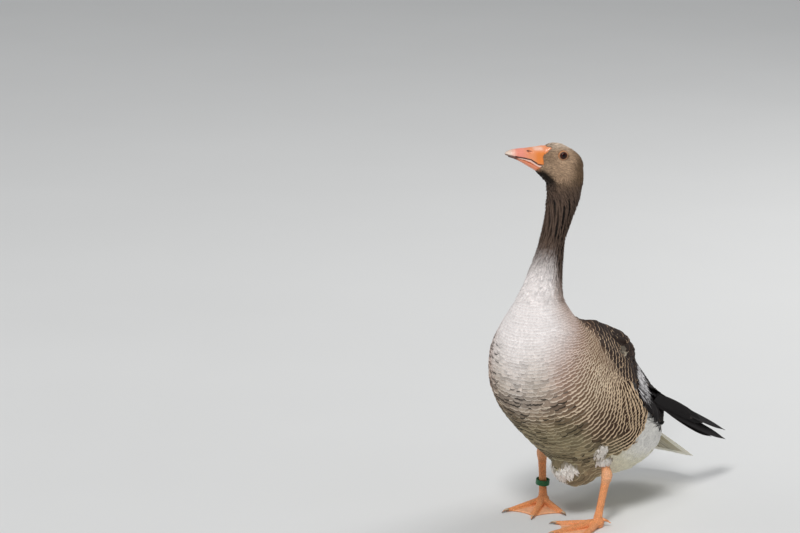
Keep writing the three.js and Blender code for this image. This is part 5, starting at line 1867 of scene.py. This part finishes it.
def ring_band():
    """The plain band round the right shank, with two fine grooves."""
    n = len(RING_PROFILE_MM)
    profile = np.array(RING_PROFILE_MM)
    turn = np.arange(RING_AROUND) * 2 * math.pi / RING_AROUND
    x = profile[None, :, 0] * np.cos(turn)[:, None]
    y = profile[None, :, 0] * np.sin(turn)[:, None]
    z = np.broadcast_to(profile[None, :, 1], x.shape)
    tipped = np.stack([x * math.cos(RING_TILT) + z * math.sin(RING_TILT), y,
                       z * math.cos(RING_TILT) - x * math.sin(RING_TILT)], -1)
    points = (tipped.reshape(-1, 3) + np.array(RING_AT_MM)) * MM
    faces = [[i * n + j, ((i + 1) % RING_AROUND) * n + j, ((i + 1) % RING_AROUND) * n + (j + 1) % n,
              i * n + (j + 1) % n] for i in range(RING_AROUND) for j in range(n)]
    plastic = tinted_material("ring plastic", 0.32, 700.0, 0.9, 1.12, 0.00006)
    piece("ring_band", points, faces, RING_GREEN, plastic, "ring", "leg_ring")


# ---------- stage ----------

CAMERA_AT = (2.9156, -4.2551, 1.600)
CAMERA_AZIMUTH = math.radians(37.74)
CAMERA_DOWN = math.radians(13.5)
CAMERA_LENS_MM = 164.4
LIGHT_AIM = (0, -0.03, 0.3)
LIGHTS = (                        # name, place, size in metres, watts
    ("key", (4.4, -9.6, 11.2), 3.2, 1450.0),
    ("fill", (-3.4, -2.0, 1.4), 2.2, 16.0),
    ("rim", (0.6, 2.6, 2.4), 1.6, 45.0),
)
WORLD_STRENGTH = 0.27
WORLD_COLOUR = (0.93, 0.96, 1.0, 1)
FLOOR_HALF = 30.0
FLOOR_DARK, FLOOR_LIGHT = (0.72, 0.72, 0.71, 1), (0.76, 0.76, 0.75, 1)


def make_stage():
    h = FLOOR_HALF
    floor = new_object("floor", [(-h, -h, 0), (h, -h, 0), (h, h, 0), (-h, h, 0)], [[0, 1, 2, 3]])
    material, tree, shader = new_material("floor")
    w = Wires(tree)
    shade = w.noise(w.place(), 2.0, 2.0)
    w.feed(w.blend(shade, FLOOR_DARK, FLOOR_LIGHT), shader.inputs["Base Color"])
    shader.inputs["Roughness"].default_value = 0.9
    floor.data.materials.append(material)

    world = bpy.data.worlds.new("studio")
    bpy.context.scene.world = world
    bpy.context.scene.view_settings.view_transform = "Standard"
    world.use_nodes = True
    sky = world.node_tree.nodes["Background"]
    sky.inputs["Color"].default_value = WORLD_COLOUR
    sky.inputs["Strength"].default_value = WORLD_STRENGTH

    for name, at, size, power in LIGHTS:
        lamp = bpy.data.lights.new(name, "AREA")
        lamp.size = size
        lamp.energy = power
        ob = bpy.data.objects.new(name, lamp)
        ob.location = at
        aim = Vector(LIGHT_AIM) - Vector(at)
        ob.rotation_euler = aim.to_track_quat("-Z", "Y").to_euler()
        bpy.context.scene.collection.objects.link(ob)


def make_camera():
    lens = bpy.data.cameras.new("camera")
    lens.sensor_width = 36.0
    lens.lens = CAMERA_LENS_MM
    lens.clip_start, lens.clip_end = 0.1, 100.0
    ob = bpy.data.objects.new("camera", lens)
    ob.location = CAMERA_AT
    ob.rotation_euler = (math.pi / 2 - CAMERA_DOWN, 0, CAMERA_AZIMUTH)
    bpy.context.scene.collection.objects.link(ob)
    bpy.context.scene.camera = ob


# ---------- the bird ----------

coat_of_trunk()
coat_of_edge()
coat_of_back()
coat_of_neck()
coat_of_head()
for bird_side in SIDES:
    coat_of_wing(bird_side)
    flight_feathers(bird_side)
coat_of_tail()
coat_of_tufts()
whole_skin()
bill_pieces()
for bird_side in SIDES:
    eye_piece(bird_side)
    claws(bird_side)
ring_band()
make_stage()
make_camera()
